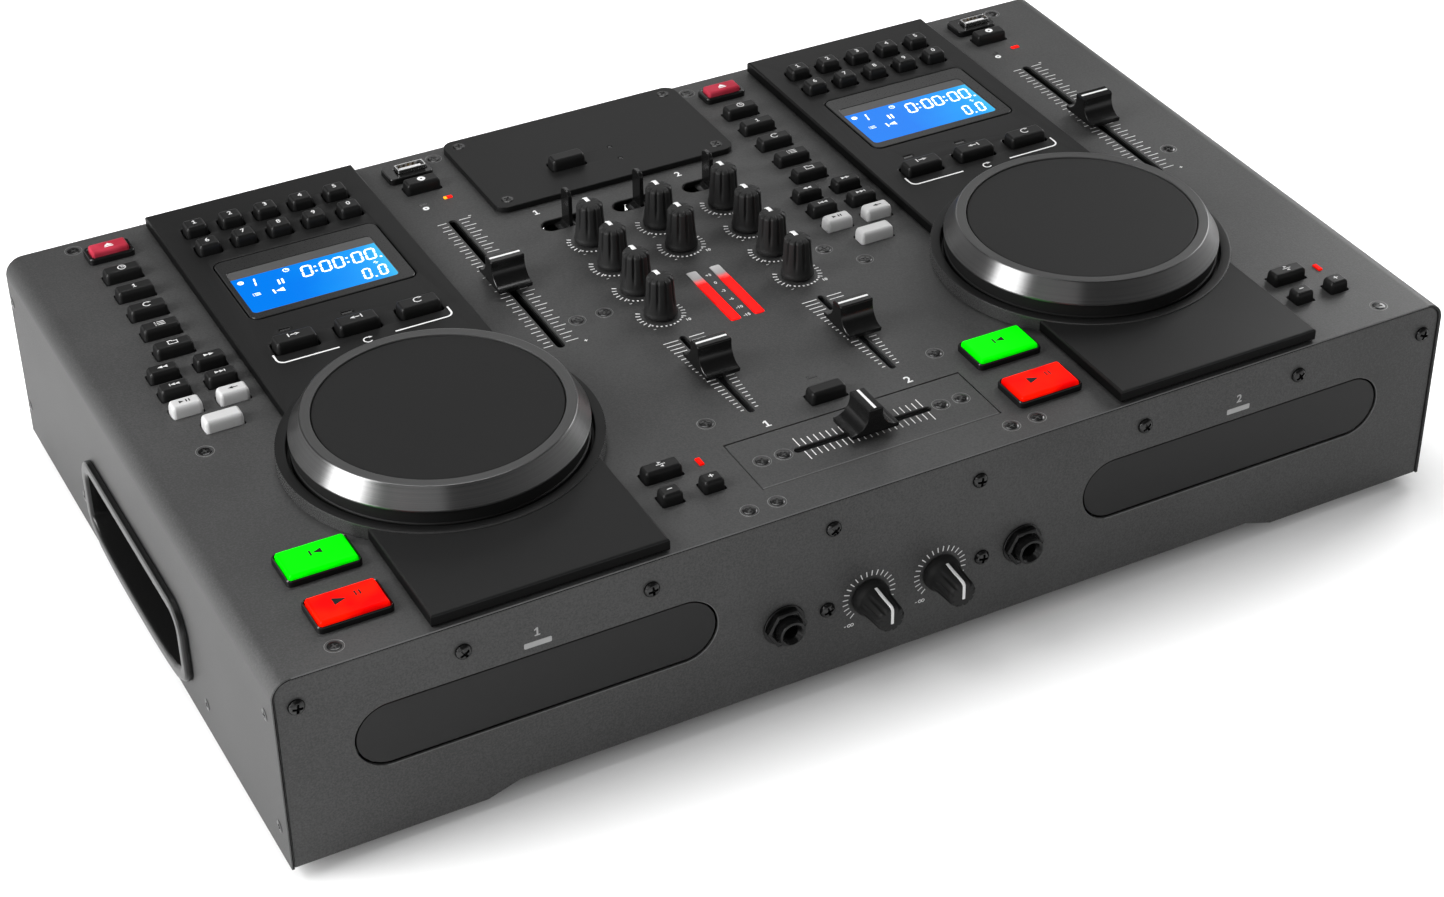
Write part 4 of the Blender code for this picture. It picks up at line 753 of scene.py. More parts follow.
# Front panel, crossfader plate and module plate
slots = {"x": (-164.5, 164.5), "z": 48.6, "width": 155, "height": 30}
frontRow = {"z": 36, "jacks": (-57, 57), "knobs": {"microphone_level_knob": -17.2, "cue_level_knob": 16.8}}
frontFace, low = 167, coverLook["low"]
panel = [(-271, low), (-190, low), (-176, 3), (176, 3), (190, low), (271, low)]
panel += arc(264, 82.5, 7, 0, 90, 10) + arc(-264, 82.5, 7, 90, 180, 10)
holes = [stadium(x, slots["z"], slots["width"], slots["height"], 32) for x in slots["x"]]
holes += [circle(x, frontRow["z"], 5.4, 32) for x in frontRow["jacks"]]
holes += [circle(x, frontRow["z"], 4.1, 24) for x in frontRow["knobs"].values()]
rings = [(0.1, -1.2), (0, -1.1), (0, -0.35), (0.14, -0.1), (0.38, 0)]
frontSheet = Shape().slab([panel] + holes, rings, 0, at(y=-frontFace, face="front"))
# Painted highlight: the rim of a slot takes a light grey below and at its right end, where the light falls on it
paintedRimHighlight = {"half": 80, "high": 20, "end": 68, "start": -66, "below": 40}


def onPaintedRimHighlight(p, x):
    if p.y >= -frontFace + 0.36 or abs(p.x - x) >= paintedRimHighlight["half"] or abs(p.z - slots["z"]) >= paintedRimHighlight["high"]:
        return False
    return p.x - x > paintedRimHighlight["end"] or (p.x - x > paintedRimHighlight["start"] and p.z < paintedRimHighlight["below"])


for x in slots["x"]:
    frontSheet.paint(1, lambda p: onPaintedRimHighlight(p, x))
# The front sheet takes the lighter powder coat, painted light
makePiece("front_sheet", frontSheet, "powderFront edgeGrey", nodes=["front_panel"])
crossPlate = Shape().slab([rect(0, crossY, 111.7, 33.7, 0.6), stadium(0, crossY, 64.8, 3.2, 8)],
                          onTop((0, -1.2), (0, -0.25), (0.3, 0)))
# Painted highlight: the plate's front and right edges take a light grey
crossPlate.paint(1, lambda p: p.z > top - 0.3 and (p.y < -146.9 or p.x > 55.4))    # its front and right edges
makePiece("crossfader_cover", crossPlate, "powderGrey edgeGrey", nodes=["crossfader_plate"])
module = [rect(0, 131.5, 123, 69, 6, 10), rect(*controls["pairing"], 17.6, 8.6, 0.8)]
module += [circle(8.5, 125.3, 1.1, 16), circle(8.4, 113.4, 1.1, 16)]    # two lamps
moduleCover = Shape().slab(module, onTop((0, 0.3), (0, 2.5), (0.15, 2.85), (0.5, 3)))
makePiece("module_cover", moduleCover, "satinBlack", nodes=["module_plate"])
print("panels ready")

# Deck plates: a chamfered plate in two parts with the round ring of the jog wheel between them
plate = {"half": 50.15, "front": -166, "back": 164, "ring": 67.2, "ringTop": 6.6, "well": 62.4, "floor": 2.3,
         "shaft": 6.6, "numberHole": (11.1, 9.5), "loopHole": (19.8, 9.8), "lampHole": (5.0, 1.5), "lampY": 45.4}
numberKeys = [(-34.3 + 16.8 * i, 140.6 - 17.3 * row) for row in (0, 1) for i in range(5)]
loopKeys = [(x, 32.5) for x in (-28.0, 0.4, 28.8)]
deckKeyTop = 10.6
window = (-0.9, 81.6, 68.3, 36.5)
lens = (0.95, 84.3, 76.6, 51.4)
plateRings = [(0.6, 0.3), (0, 0.9), (0, 5.0), (0.35, 5.65), (1.0, 6.0)]


def deckPlate(side):
    x = deckX[side]
    shape = Shape()
    radius = plate["ring"] - 0.8
    angle = math.degrees(math.acos(plate["half"] / radius))
    back = arc(x, jogY, radius, 180 - angle, angle, 40)
    back += [(x + plate["half"], plate["back"]), (x - plate["half"], plate["back"])]
    front = arc(x, jogY, radius, -angle, angle - 180, 40)
    front += [(x - plate["half"], plate["front"]), (x + plate["half"], plate["front"])]
    holes = [rect(x + lens[0], lens[1], lens[2] + 0.9, lens[3] + 0.9, 4.2, 6)]
    holes += [rect(x + u, v, *plate["numberHole"], 1.1) for u, v in numberKeys]
    holes += [rect(x + u, v, *plate["loopHole"], 1.1) for u, v in loopKeys]
    holes += [rect(x + u + 0.3, plate["lampY"], *plate["lampHole"], 0.3) for u, v in loopKeys[:2]]
    shape.slab([back] + holes, plateRings, 0, at(z=top))
    shape.slab([front], plateRings, 0, at(z=top))
    # Painted shade: the plate's sides below the chamfer take a darker black than its top
    shape.paint(1, lambda p: p.z < top + 5.1)
    makePiece("deck_plate_" + side, shape, "satinBlack sideBlack", nodes=["deck_bezel_" + side],
              angle=30)
    r, h, w, floor, shaft = (plate[key] for key in ("ring", "ringTop", "well", "floor", "shaft"))
    profile = [(w, floor), (w, h - 0.9), (w + 0.25, h - 0.3), (w + 0.8, h), (r - 0.6, h), (r - 0.15, h - 0.15),
               (r, h - 0.55), (r, 0.3), (shaft, 0.3), (shaft, floor)]
    ring = Shape().turned(profile, 160, 0, at(x, jogY, top))
    # Painted highlight: the ring's outer wall takes a lighter grey than its top
    ring.paint(1, lambda p: math.hypot(p.x - x, p.y - jogY) > r - 0.2)
    makePiece("jog_ring_" + side, ring, "ringBlack ringWall")


for side in deckX:
    deckPlate(side)
print("deck plates ready")


# Signs: flat outlines that stand a little above a cap, a panel or a screen
def triangle(x, y, size, way=1):
    half, high = way * size / 2, size * 0.42
    return [(x - half, y - high), (x + half, y), (x - half, y + high)]


folder = [(-2.2, -1.5), (2.2, -1.5), (2.2, 1.0), (0.1, 1.0), (-0.4, 1.6), (-2.2, 1.6)]
signs = {    # each sign is a list of solids, and a second outline is a hole
    "clock": [[circle(0, 0, 1.9, 20), circle(0, 0, 1.45, 20)], [rect(0, 0.65, 0.4, 1.3)],
              [rect(0.55, -0.1, 1.2, 0.4)]],
    "loop": [[arc(0, 0, 1.8, 40, 320, 20) + arc(0, 0, 1.8 - 0.45, 320, 40, 20)], [triangle(1.5, 1.35, 1.6)]],
    "list": [[rect(x, y, w, d)] for x, w, d in ((0.5, 3.4, 0.42), (-2.0, 0.5, 0.5)) for y in (-1.2, 0, 1.2)],
    "folder": [[folder, inset(folder, 0.42)]],
    "eject": [[[(-2.0, -0.5), (2.0, -0.5), (0, 1.6)]], [rect(0, -1.25, 4.0, 0.6)]],
    "forward": [[triangle(-1.2, 0, 2.3)], [triangle(1.1, 0, 2.3)]],
    "rewind": [[triangle(-1.1, 0, 2.3, -1)], [triangle(1.2, 0, 2.3, -1)]],
    "next": [[triangle(-1.6, 0, 2.1)], [triangle(0.5, 0, 2.1)], [rect(1.85, 0, 0.4, 1.9)]],
    "last": [[triangle(-0.5, 0, 2.1, -1)], [triangle(1.6, 0, 2.1, -1)], [rect(-1.85, 0, 0.4, 1.9)]],
    "slow": [[triangle(-1.6, 0, 2.2)], [rect(0.6, 0, 0.6, 1.9)], [rect(1.9, 0, 0.6, 1.9)]],
    "back": [[triangle(-0.8, 0, 2.2, -1)], [rect(1.4, 0, 2.4, 0.5)]],
    "play": [[triangle(-2.6, 1.2, 5.2)], [rect(4.2, 2.3, 0.7, 3.0)], [rect(6.0, 2.3, 0.7, 3.0)]],
    "cue": [[triangle(0.9, 1.6, 3.8, -1)], [rect(-1.9, 1.6, 0.8, 3.4)]],
    "plus": [[rect(0, 0, 2.2, 0.5)], [rect(0, 0.68, 0.5, 0.86)], [rect(0, -0.68, 0.5, 0.86)]],
    "minus": [[rect(0, 0, 2.2, 0.5)]],
    "in": [[rect(-2.2, 0, 0.5, 2.4)], [rect(-0.2, 0, 2.4, 0.5)], [triangle(1.6, 0, 1.9)]],
    "out": [[triangle(-1.6, 0, 1.9, -1)], [rect(0.2, 0, 2.4, 0.5)], [rect(2.2, 0, 0.5, 2.4)]],
    "disc": [[circle(0, 0, 1.9, 20), circle(0, 0, 0.6, 12)]],
    "one": [[[(-1.3, -2.1), (1.3, -2.1), (1.3, -1.5), (0.42, -1.5), (0.42, 2.1), (-0.36, 2.1),
              (-1.3, 1.35), (-1.3, 0.6), (-0.38, 1.2), (-0.38, -1.5), (-1.3, -1.5)]]],
    "speed": [[triangle(0, 1.3, 1.6)], [triangle(0, -1.3, 1.6, -1)], [rect(0, 0, 4.0, 0.4)]],
    "": []}


def printSign(shape, kind, x, y, z, number, size=1.0):    # thin solids that stand on a cap or a panel
    for outlines in signs[kind]:
        scaled = [[(x + u * size, y + v * size) for u, v in outline] for outline in outlines]
        shape.block(scaled, z - 0.05, z + 0.05, number)


def figure(shape, text, x, y, z, size, number):
    if text == "1":
        printSign(shape, "one", x, y, z, number, size * 0.165)
    else:
        shape.take(glyph(text, size, 0.10), number, at(x, y, z))


# Screens with lit figures, memory sockets and the boards under them
segments = {"0": "abcdef", "1": "bc"}


def sevenSegment(shape, text, x, y, high, width, z, number):    # slanted bars, as on a lit numeric screen
    wide, thick, lean, half = high * width, high * 0.130, 0.16, high / 2
    bars = {"a": (0, high, wide, high), "d": (0, 0, wide, 0), "f": (0, half, 0, high), "e": (0, 0, 0, half),
            "b": (wide, half, wide, high), "c": (wide, 0, wide, half)}
    for sign in text:
        if sign in ".:":
            for v in ([0] if sign == "." else [high * 0.28, high * 0.72]):
                u = x + lean * v
                shape.block([rect(u, y + v, thick, thick)], z, z + 0.05, number)
            x += thick * 2.4
            continue
        for bar in segments[sign]:
            x1, y1, x2, y2 = bars[bar]
            gap, t = thick * 0.62, thick / 2
            if y1 == y2:
                a, b = x1 + gap, x2 - gap
                corners = [(a, y1 - t), (b, y1 - t), (b + t, y1), (b, y1 + t), (a, y1 + t), (a - t, y1)]
            else:
                a, b = y1 + gap, y2 - gap
                corners = [(x1 - t, a), (x1, a - t), (x1 + t, a), (x1 + t, b), (x1, b + t), (x1 - t, b)]
            shape.block([[(x + u + lean * v, y + v) for u, v in corners]], z, z + 0.05, number)
        x += wide + thick * 1.9


screenParts = {    # the lit part, rows of figures with place, height and width, then the bars and the signs
    "proud": 5.95, "lit": ((-35.0, 63.6), (32.7, 63.6), (32.7, 93.2), (-35.0, 93.2)),
    "figures": (("0:00:00.", -5.0, 81.1, 8.3, 0.50), ("0.0", 18.2, 66.6, 7.8, 0.40), ("1", -29.3, 84.3, 6.2, 0.50)),
    "bars": (-17.0, -15.2), "bar": ((0, 80.6), (0.9, 80.6), (1.3, 84.6), (0.4, 84.6)),
    "signs": (("disc", -31.6, 89.4, 0.75), ("clock", -10.2, 90.4, 0.8), ("cue", -19.0, 74.6, 1.0),
              ("speed", 27.2, 77.6, 0.6), ("list", -28.4, 77.6, 0.75))}


def deckScreen(side):    # a clear cover set flush: black border, grey field, the lit part and its figures
    x = deckX[side]
    shape = Shape()
    high = top + screenParts["proud"]
    field = rect(x + window[0], *window[1:], 2.4, 6)
    border = [rect(x + lens[0], *lens[1:], 3.7, 6), field]
    shape.slab(border, [(0, top + 0.5), (0, high - 0.25), (0.25, high)], 0)
    shape.block([inset(field, 0.05)], top - 14, high - 0.22, 1)
    lit = [(x + u, v) for u, v in screenParts["lit"]]
    shape.block([rounded(lit, [1.8, 1.8, 0, 0], 5)], high - 0.25, high - 0.17, 2)
    printed = high - 0.18
    for text, u, v, size, width in screenParts["figures"]:
        sevenSegment(shape, text, x + u, v, size, width, printed, 3)
    for u in screenParts["bars"]:
        shape.block([[(x + u + a, b) for a, b in screenParts["bar"]]], printed, printed + 0.05, 3)
    for sign, u, v, size in screenParts["signs"]:
        printSign(shape, sign, x + u, v, printed, 3, size)
    makePiece("screen_" + side, shape, "lensBlack screenField screenBlue screenWhite",
              nodes=["display_board_" + side])


material, net = newFinish("screenWhite")
soft = net.noise(900, 1, 0.5)
net.shader({"Base Color": (0.8, 0.9, 1.0), "Roughness": soft * 0.1 + 0.25,
            "Emission Color": net.mix(soft, (0.70, 0.88, 1.0), (0.95, 1.0, 1.0)), "Emission Strength": 0.85})
finish["screenWhite"] = material

usbLook = {"wall": 0.6, "top": 5.0, "floor": -7, "low": -12, "contacts": 4, "step": 2.3, "tongue": (11, 1.9)}


def deckSocket(side):
    x = deckX[side]
    u, v = controls["usbPlace"]
    w, d = controls["usb"]
    shape = Shape()
    wall, low, high, floor = usbLook["wall"], top + usbLook["low"], top + usbLook["top"], top + usbLook["floor"]
    shell = [rect(x + u, v, w, d, 0.7, 4), rect(x + u, v, w - 2 * wall, d - 2 * wall, 0.4, 4)]
    shape.slab(shell, [(0, low), (0, high - 0.2), (0.1, high)], 0)
    shape.block([rect(x + u, v, w - 0.6, d - 0.6, 0.3)], low, floor, 1)
    tongue = rect(x + u - 0.4, v - 0.8, *usbLook["tongue"], 0.2)
    shape.slab([tongue], [(0, floor - 0.2), (0, top + 4.3), (0.2, top + 4.5)], 3)
    for i in range(usbLook["contacts"]):
        shape.block([rect(x + u - 0.4 + (i - 1.5) * usbLook["step"], v + 0.2, 1.1, 0.2)], top - 6.8, top + 3.8, 2)
    finishes = "brightSteel glossBlack contactGold socketWhite"
    makePiece("memory_socket_" + side, shape, finishes)


boardParts = {
    "outline": ((-44, 26), (65, 26), (65, -24), (84, -24), (84, 158), (-44, 158)), "low": 75, "high": 76.6,
    "track": [(-5, 76.4), (5, 76.4), (5, 89.5), (1.6, 89.5), (1.6, 78), (-1.6, 78), (-1.6, 89.5), (-5, 89.5)],
    "trackHalf": 65.9}


def deckBoard(side):
    x, half = deckX[side], boardParts["trackHalf"]
    shape = Shape()
    shape.block([[(x + u, v) for u, v in boardParts["outline"]]], boardParts["low"], boardParts["high"], 0)
    place = at(x + controls["pitchX"], openings["pitch"][0], 0, "front")    # the pitch fader's body, open on top
    shape.block([boardParts["track"]], -half, half, 1, place)
    makePiece("deck_board_" + side, shape, "boardGreen wellBlack")


for side in deckX:
    deckScreen(side)
    deckSocket(side)
    deckBoard(side)
print("screens ready")

# Jog wheels: pad, rim, brushed bevel and black skirt, turned about the wheel's own axis
jog = {"pad": 51.3, "rimIn": 51.6, "rimOut": 56.2, "top": 20.9, "out": 61.4, "shoulder": 12.5, "low": 3.2,
       "steps": 192}


def jogWheel(side):
    pad, rimIn, rimOut, high, out, shoulder, low, steps = (jog[key] for key in jog)
    place = at(deckX[side], jogY, top)
    shape = Shape()
    profile = [(0, high - 0.30), (30, high - 0.31), (pad - 1.2, high - 0.38), (pad - 0.4, high - 0.52), (pad, high - 0.9),
               (pad, high - 2), (0, high - 2)]
    shape.turned(profile, steps, 0, place)
    profile = [(rimIn, high - 1.8), (rimIn, high - 0.35), (rimIn + 0.12, high - 0.1), (rimIn + 0.4, high),
               (rimOut - 0.40, high), (rimOut - 0.40, high - 2)]
    shape.turned(profile, steps, 1, place)
    slope = (out - rimOut - 0.22) / (high - 0.3 - shoulder)
    profile = [(rimOut - 0.36, high - 0.01), (rimOut - 0.06, high - 0.05), (rimOut + 0.22, high - 0.3),
               (out - 0.25, shoulder + 0.25 / slope), (out - 0.05, shoulder + 0.15), (out, shoulder - 0.35),
               (out - 0.3, shoulder - 0.6), (out - 4, shoulder - 0.6), (rimOut - 3, high - 1.9),
               (rimOut - 0.36, high - 1.7)]
    shape.turned(profile, steps, 2, place)
    profile = [(0, high - 1.9), (52, high - 1.9), (out - 0.8, shoulder - 0.5), (out - 0.8, 6.4), (out - 0.3, 6.0),
               (out - 0.2, low + 0.3), (out - 0.5, low), (out - 2.4, low), (out - 2.4, shoulder - 1.2), (50, high - 4.4),
               (6, high - 4.4), (6, -6), (0, -6)]
    shape.turned(profile, steps, 3, place)
    makePiece("jog_" + side, shape, "padBlack jogRim jogBevel wellBlack", "jog_wheel_" + side,
              angle=28)


for side in deckX:
    jogWheel(side)
print("jog wheels ready")

# Keys: soft-edged caps on their carriers, with signs printed on top
# The edge of a key: insets with their depth under the top
keyLook = {"corner": 1.9, "top": 5.2, "number": (10.3, 8.7), "loop": (19, 9),
           "edge": ((0.10, 3.2), (0.24, 1.9), (0.42, 1.15), (0.74, 0.52), (1.2, 0.13), (1.65, 0.0))}


def keyCap(shape, x, y, size, high, number=0, low=-1.9):
    rings = [(0, low)] + [(amount, high - depth) for amount, depth in keyLook["edge"]]
    shape.slab([rect(x, y, size[0], size[1], keyLook["corner"], 5)], rings, number, at(z=top))


# The plates under the caps: place, size, bottom and top
carriers = {"number": (0, 91, 85.3, 131, -1.5, -0.3), "column": (-72.9, 63.75, 36, 139.3, -3, -1.8),
            "pitch": (74.8, -127.7, 29.6, 26.6, -3, -1.8)}


def carrier(x, key, *holes):
    u, v, w, d, low, high = carriers[key]
    return Shape().block([rect(x + u, v, w, d), *holes], top + low, top + high)


def deckKeys(side):
    x, high = deckX[side], keyLook["top"]
    body = "number_keys_" + side
    shape = carrier(x, "number", rect(x + window[0], window[1], window[2] + 2, window[3] + 2))
    for (u, v), text in zip(numberKeys, "1234567890"):
        keyCap(shape, x + u, v, keyLook["number"], deckKeyTop, 0, -0.6)
        figure(shape, text, x + u, v + 0.5, top + deckKeyTop, 3.9, 1)
    for (u, v), sign in zip(loopKeys, ("in", "out", "loop")):
        keyCap(shape, x + u, v, keyLook["loop"], deckKeyTop, 0, -0.6)
        printSign(shape, sign, x + u, v + 0.6, top + deckKeyTop, 1, 1.1)
    makePiece("number_caps_" + side, shape, "rubberKey keyPrint", body)
    body = "column_keys_" + side
    shape = carrier(x, "column")
    for (u, v), sign in zip(controls["column"], ("clock", "1", "loop", "list", "folder")):
        keyCap(shape, x + u, v, controls["wide"], high)
        if sign == "1":
            figure(shape, "1", x + u, v, top + high, 3.7, 1)
        else:
            printSign(shape, sign, x + u, v, top + high, 1)
    for (u, v), sign in zip(controls["pairs"], ("rewind", "forward", "last", "next", "slow", "back")):
        pale = v < 20
        keyCap(shape, x + u, v, controls["pair"], high, 2 if pale else 0)
        printSign(shape, sign, x + u, v, top + high, 3 if pale else 1, 0.95)
    keyCap(shape, x + controls["bend"][0], controls["bend"][1], controls["wide"], high, 2)
    makePiece("column_caps_" + side, shape, "rubberKey keyPrint greyKey blackPrint", body)
    body = "pitch_keys_" + side
    shape = carrier(x, "pitch")
    for key, size, sign in (("pitch", "wide", "speed"), ("minus", "small", "minus"), ("plus", "small", "plus")):
        u, v = controls[key]
        keyCap(shape, x + u, v, controls[size], high)
        printSign(shape, sign, x + u, v + 0.3, top + high, 1)
    makePiece("pitch_caps_" + side, shape, "rubberKey keyPrint", body)


bigCapLook = {"size": "bigCap", "top": 4.5, "corner": 1.4, "ink": "blackPrint",
              "edge": ((0, 1.5), (0.12, 0.95), (0.42, 0.45), (0.86, 0.12), (1.35, 0.0))}
capLooks = {
    "cue": {**bigCapLook, "finish": "glowGreen", "slot": "cue_green"},
    "play": {**bigCapLook, "finish": "glowRed", "slot": "play_red"},
    "eject": {"size": "ejectCap", "top": 5.2, "corner": 1.2, "ink": "whitePrint", "finish": "ejectRed",
              "slot": "eject_red", "edge": ((0, 1.6), (0.08, 1.0), (0.30, 0.42), (0.66, 0.10), (1.1, 0.0))}}


def singleCap(name, body, x, place, look, sign, low=-3.0):
    x, y = x + place[0], place[1]
    size, high = controls[look["size"]], look["top"]
    shape = Shape().block([rect(x, y, size[0] + 2, size[1] + 2)], low, low + 1.2, 0, at(z=top))
    if "edge" in look:
        rings = [(0, -2.4)] + [(amount, high - depth) for amount, depth in look["edge"]]
        shape.slab([rect(x, y, size[0], size[1], look["corner"], 5)], rings, 0, at(z=top))
    else:
        keyCap(shape, x, y, size, high, 0, low + 0.6)
    printSign(shape, sign, x, y, top + high, 1)
    makePiece(name, shape, look["finish"] + " " + look["ink"], body)


plainCap = {"size": "wide", "top": keyLook["top"], "finish": "rubberKey", "ink": "whitePrint"}
for side, x in deckX.items():
    deckKeys(side)
    for key, look in capLooks.items():
        singleCap(key + "_cap_" + side, key + "_button_" + side, x, controls[key], look, key)
    singleCap("source_cap_" + side, "source_key_" + side, x, controls["source"], plainCap, "disc")
singleCap("pairing_cap", "pairing_key", 0, controls["pairing"], {**plainCap, "top": 8.2}, "", -1.5)
singleCap("start_cap", "fader_start_key", 0, controls["start"], plainCap, "")
print("keys ready")

# Faders: hollow flanks under a flat ridge with a white line
cap = {"width": 16.2, "depth": 22.2, "top": 14.8, "low": 2.6, "ridge": 7.0, "lip": 1.8, "shoulder": 2.6, "line": 1.2,
       "stem": (5, 1.2), "ends": ((0.55, 0), (0.22, 0.1), (0.04, 0.3), (0, 0.6))}
faders = {"pitch_fader_left": (-82.6, 42.4, "y"), "pitch_fader_right": (227.8, 42.4, "y"),
          "channel_fader_left": (-34, -60.8, "y"), "channel_fader_right": (34, -62.3, "y"),
          "crossfader": (1.2, crossY, "x")}


def faderOutline():
    half, ridge, lip = cap["depth"] / 2, cap["ridge"] / 2, cap["low"] + cap["lip"]
    shoulder = cap["top"] - cap["shoulder"]
    right = [(half, cap["low"]), (half, lip)]
    for i in range(17):
        a = math.radians(90 - 90 * i / 16)
        right.append((ridge + (half - ridge) * (1 - math.cos(a)), shoulder - (shoulder - lip) * math.sin(a)))
    right += arc(ridge - 0.7, cap["top"] - 0.7, 0.7, 0, 90, 5)
    return right + [(-u, v) for u, v in reversed(right)]


for name, (x, y, along) in faders.items():
    face, turn = ("right", 0) if along == "y" else ("front", 0)
    place = at(x, y, top, face)
    shape = Shape()
    half = cap["width"] / 2
    shape.slab([faderOutline()], bothEnds(half, *cap["ends"]), 0, place)
    order = 1 if along == "x" else -1
    shape.block([rect(0, 0, *cap["stem"][::order])], -7.5, 4, 0, at(x, y, top))
    size = (cap["line"], cap["width"] - 1.6)[::order]
    shape.block([rect(0, 0, *size, 0.3)], cap["top"] - 0.1, cap["top"] + 0.07, 1, at(x, y, top))
    makePiece(name + "_cap", shape, "glossBlack whitePrint", name, angle=26)
print("faders ready")


# Knobs: a fluted, tapered grip on a round skirt, whose flutes follow a rule
def fluteTree():
    net, start = newTree("flutes", {"Flutes": 10, "Flute Depth": 0.0008, "Flute Width": 0.4,
                                    "Flute Low": 0.0045, "Flute High": 0.013, "Core": 0.0045})
    x, y, z = net.split(net.node("GeometryNodeInputPosition"))
    radius = net.maths("SQRT", x * x + y * y)
    turn = net.maths("ARCTAN2", y, x) * start["Flutes"]
    wave = net.maths("COSINE", turn) * 0.5 + 0.5
    notch = net.between(wave, 1 - start["Flute Width"], 1.0, "SMOOTHSTEP")
    rise = net.between(z, start["Flute Low"], start["Flute High"], "SMOOTHSTEP")
    outside = net.maths("MINIMUM", radius / start["Core"], 1.0)
    left = 1 - notch * rise * outside * start["Flute Depth"] / net.maths("MAXIMUM", radius, 0.0001)
    moved = net.vector(x * left, y * left, z)
    shaped = net.node("GeometryNodeSetPosition", {"Geometry": start["Geometry"], "Position": moved})
    return endTree(net, start, shaped)


knobLooks = {
    "mixer": {"profile": [(0, 0.8), (6.9, 0.8), (7.35, 1.0), (7.5, 1.4), (7.5, 2.3), (7.38, 2.75), (7.14, 3.2),
                          (7.0, 4.2), (6.55, 9), (6.2, 14), (6.0, 18.3), (5.88, 18.8), (5.62, 19.2), (4.6, 19.8),
                          (4.3, 19.92), (2, 20.0), (0, 20.03)],
              "flutes": 10, "depth": 0.75, "width": 0.34, "low": 4.0, "high": 11.0,
              "pointer": (0.9, 1.9), "reach": 16.5, "shaft": 1.5},
    "front": {"profile": [(0, 0.6), (7.9, 0.6), (8.35, 0.8), (8.5, 1.3), (8.35, 3.2), (8.05, 4.0), (7.5, 4.7),
                          (7.25, 5.4), (6.9, 9), (6.55, 14), (6.4, 17.2), (6.1, 18.1), (5.6, 18.7), (5.0, 18.95),
                          (2, 19.0), (0, 19.02)],
              "flutes": 10, "depth": 0.75, "width": 0.40, "low": 5.5, "high": 12.0,
              "pointer": (-1.6, 1.35), "reach": 5.2, "shaft": 1.2}}
fluteNet = fluteTree()


def knobMesh(look):
    profile = look["profile"]
    rows = []    # the tall sides get more rows, so that the flutes fade smoothly
    for (r1, h1), (r2, h2) in zip(profile, profile[1:]):
        parts = max(1, int(abs(h2 - h1) / 1.2))
        rows += [(r1 + (r2 - r1) * i / parts, h1 + (h2 - h1) * i / parts) for i in range(parts)]
    base = localMesh(Shape().turned(rows + [profile[-1]], 120))
    base.transform(Matrix.Scale(0.001, 4))
    values = {"Flutes": look["flutes"], "Flute Depth": look["depth"] / 1000, "Flute Width": look["width"],
              "Flute Low": look["low"] / 1000, "Flute High": look["high"] / 1000, "Material": finish["knobRubber"]}
    mesh = runTree(fluteNet, base, values)
    mesh.transform(Matrix.Scale(1000, 4))
    return mesh


def pointerShape(shape, look, number, place):    # a white bar across the top and down the back of the grip
    start, wide = look["pointer"]
    profile = [(r, h) for r, h in look["profile"] if h > look["reach"] and r > max(start, 0)]
    path = [(start, look["profile"][-2][1])] + [(r, h) for r, h in reversed(profile)]
    rows = []
    for i, (r, h) in enumerate(path):
        one, two = Vector(path[max(i - 1, 0)]), Vector(path[min(i + 1, len(path) - 1)])
        along = (two - one).normalized()
        out = Vector((-along.y, along.x))
        for lift, half in ((0.30, wide / 2 - 0.22), (0.08, wide / 2), (-0.5, wide / 2)):
            rows.append((r + out.x * lift, h + out.y * lift, half))
    points, faces = [], []
    for r, h, half in rows:
        points += [(-half, r, h), (half, r, h)]
    order = [0, 1, 3, 5, 4, 2]    # round one row: upper left, upper right, then down and back
    for i in range(len(path) - 1):
        a, b = i * 6, (i + 1) * 6
        for j in range(6):
            k = (j + 1) % 6
            faces.append((a + order[j], a + order[k], b + order[k], b + order[j]))
    last = (len(path) - 1) * 6
    faces += [[order[j] for j in range(6)], [last + order[j] for j in reversed(range(6))]]
    shape.add(points, faces, number, place)


spots = {name: ("mixer", at(x, y, top), at(x, y, top, turn=18)) for name, (x, y) in knobPlaces.items()}
for name, x in frontRow["knobs"].items():
    row = (x, -frontFace, frontRow["z"], "front")
    spots[name] = ("front", at(*row), at(*row, 18))
meshes = {key: knobMesh(look) for key, look in knobLooks.items()}
for name, (kind, place, turned) in spots.items():
    shape = Shape().take(meshes[kind], 0, turned)
    shaft = knobLooks[kind]["shaft"]
    shape.turned([(0, -8), (2, -8), (2, shaft), (0, shaft)], 16, 0, place)
    pointerShape(shape, knobLooks[kind], 1, place)
    makePiece(name.replace("_knob", "_dial"), shape, "knobRubber whitePrint", name, angle=50)
print("knobs ready")

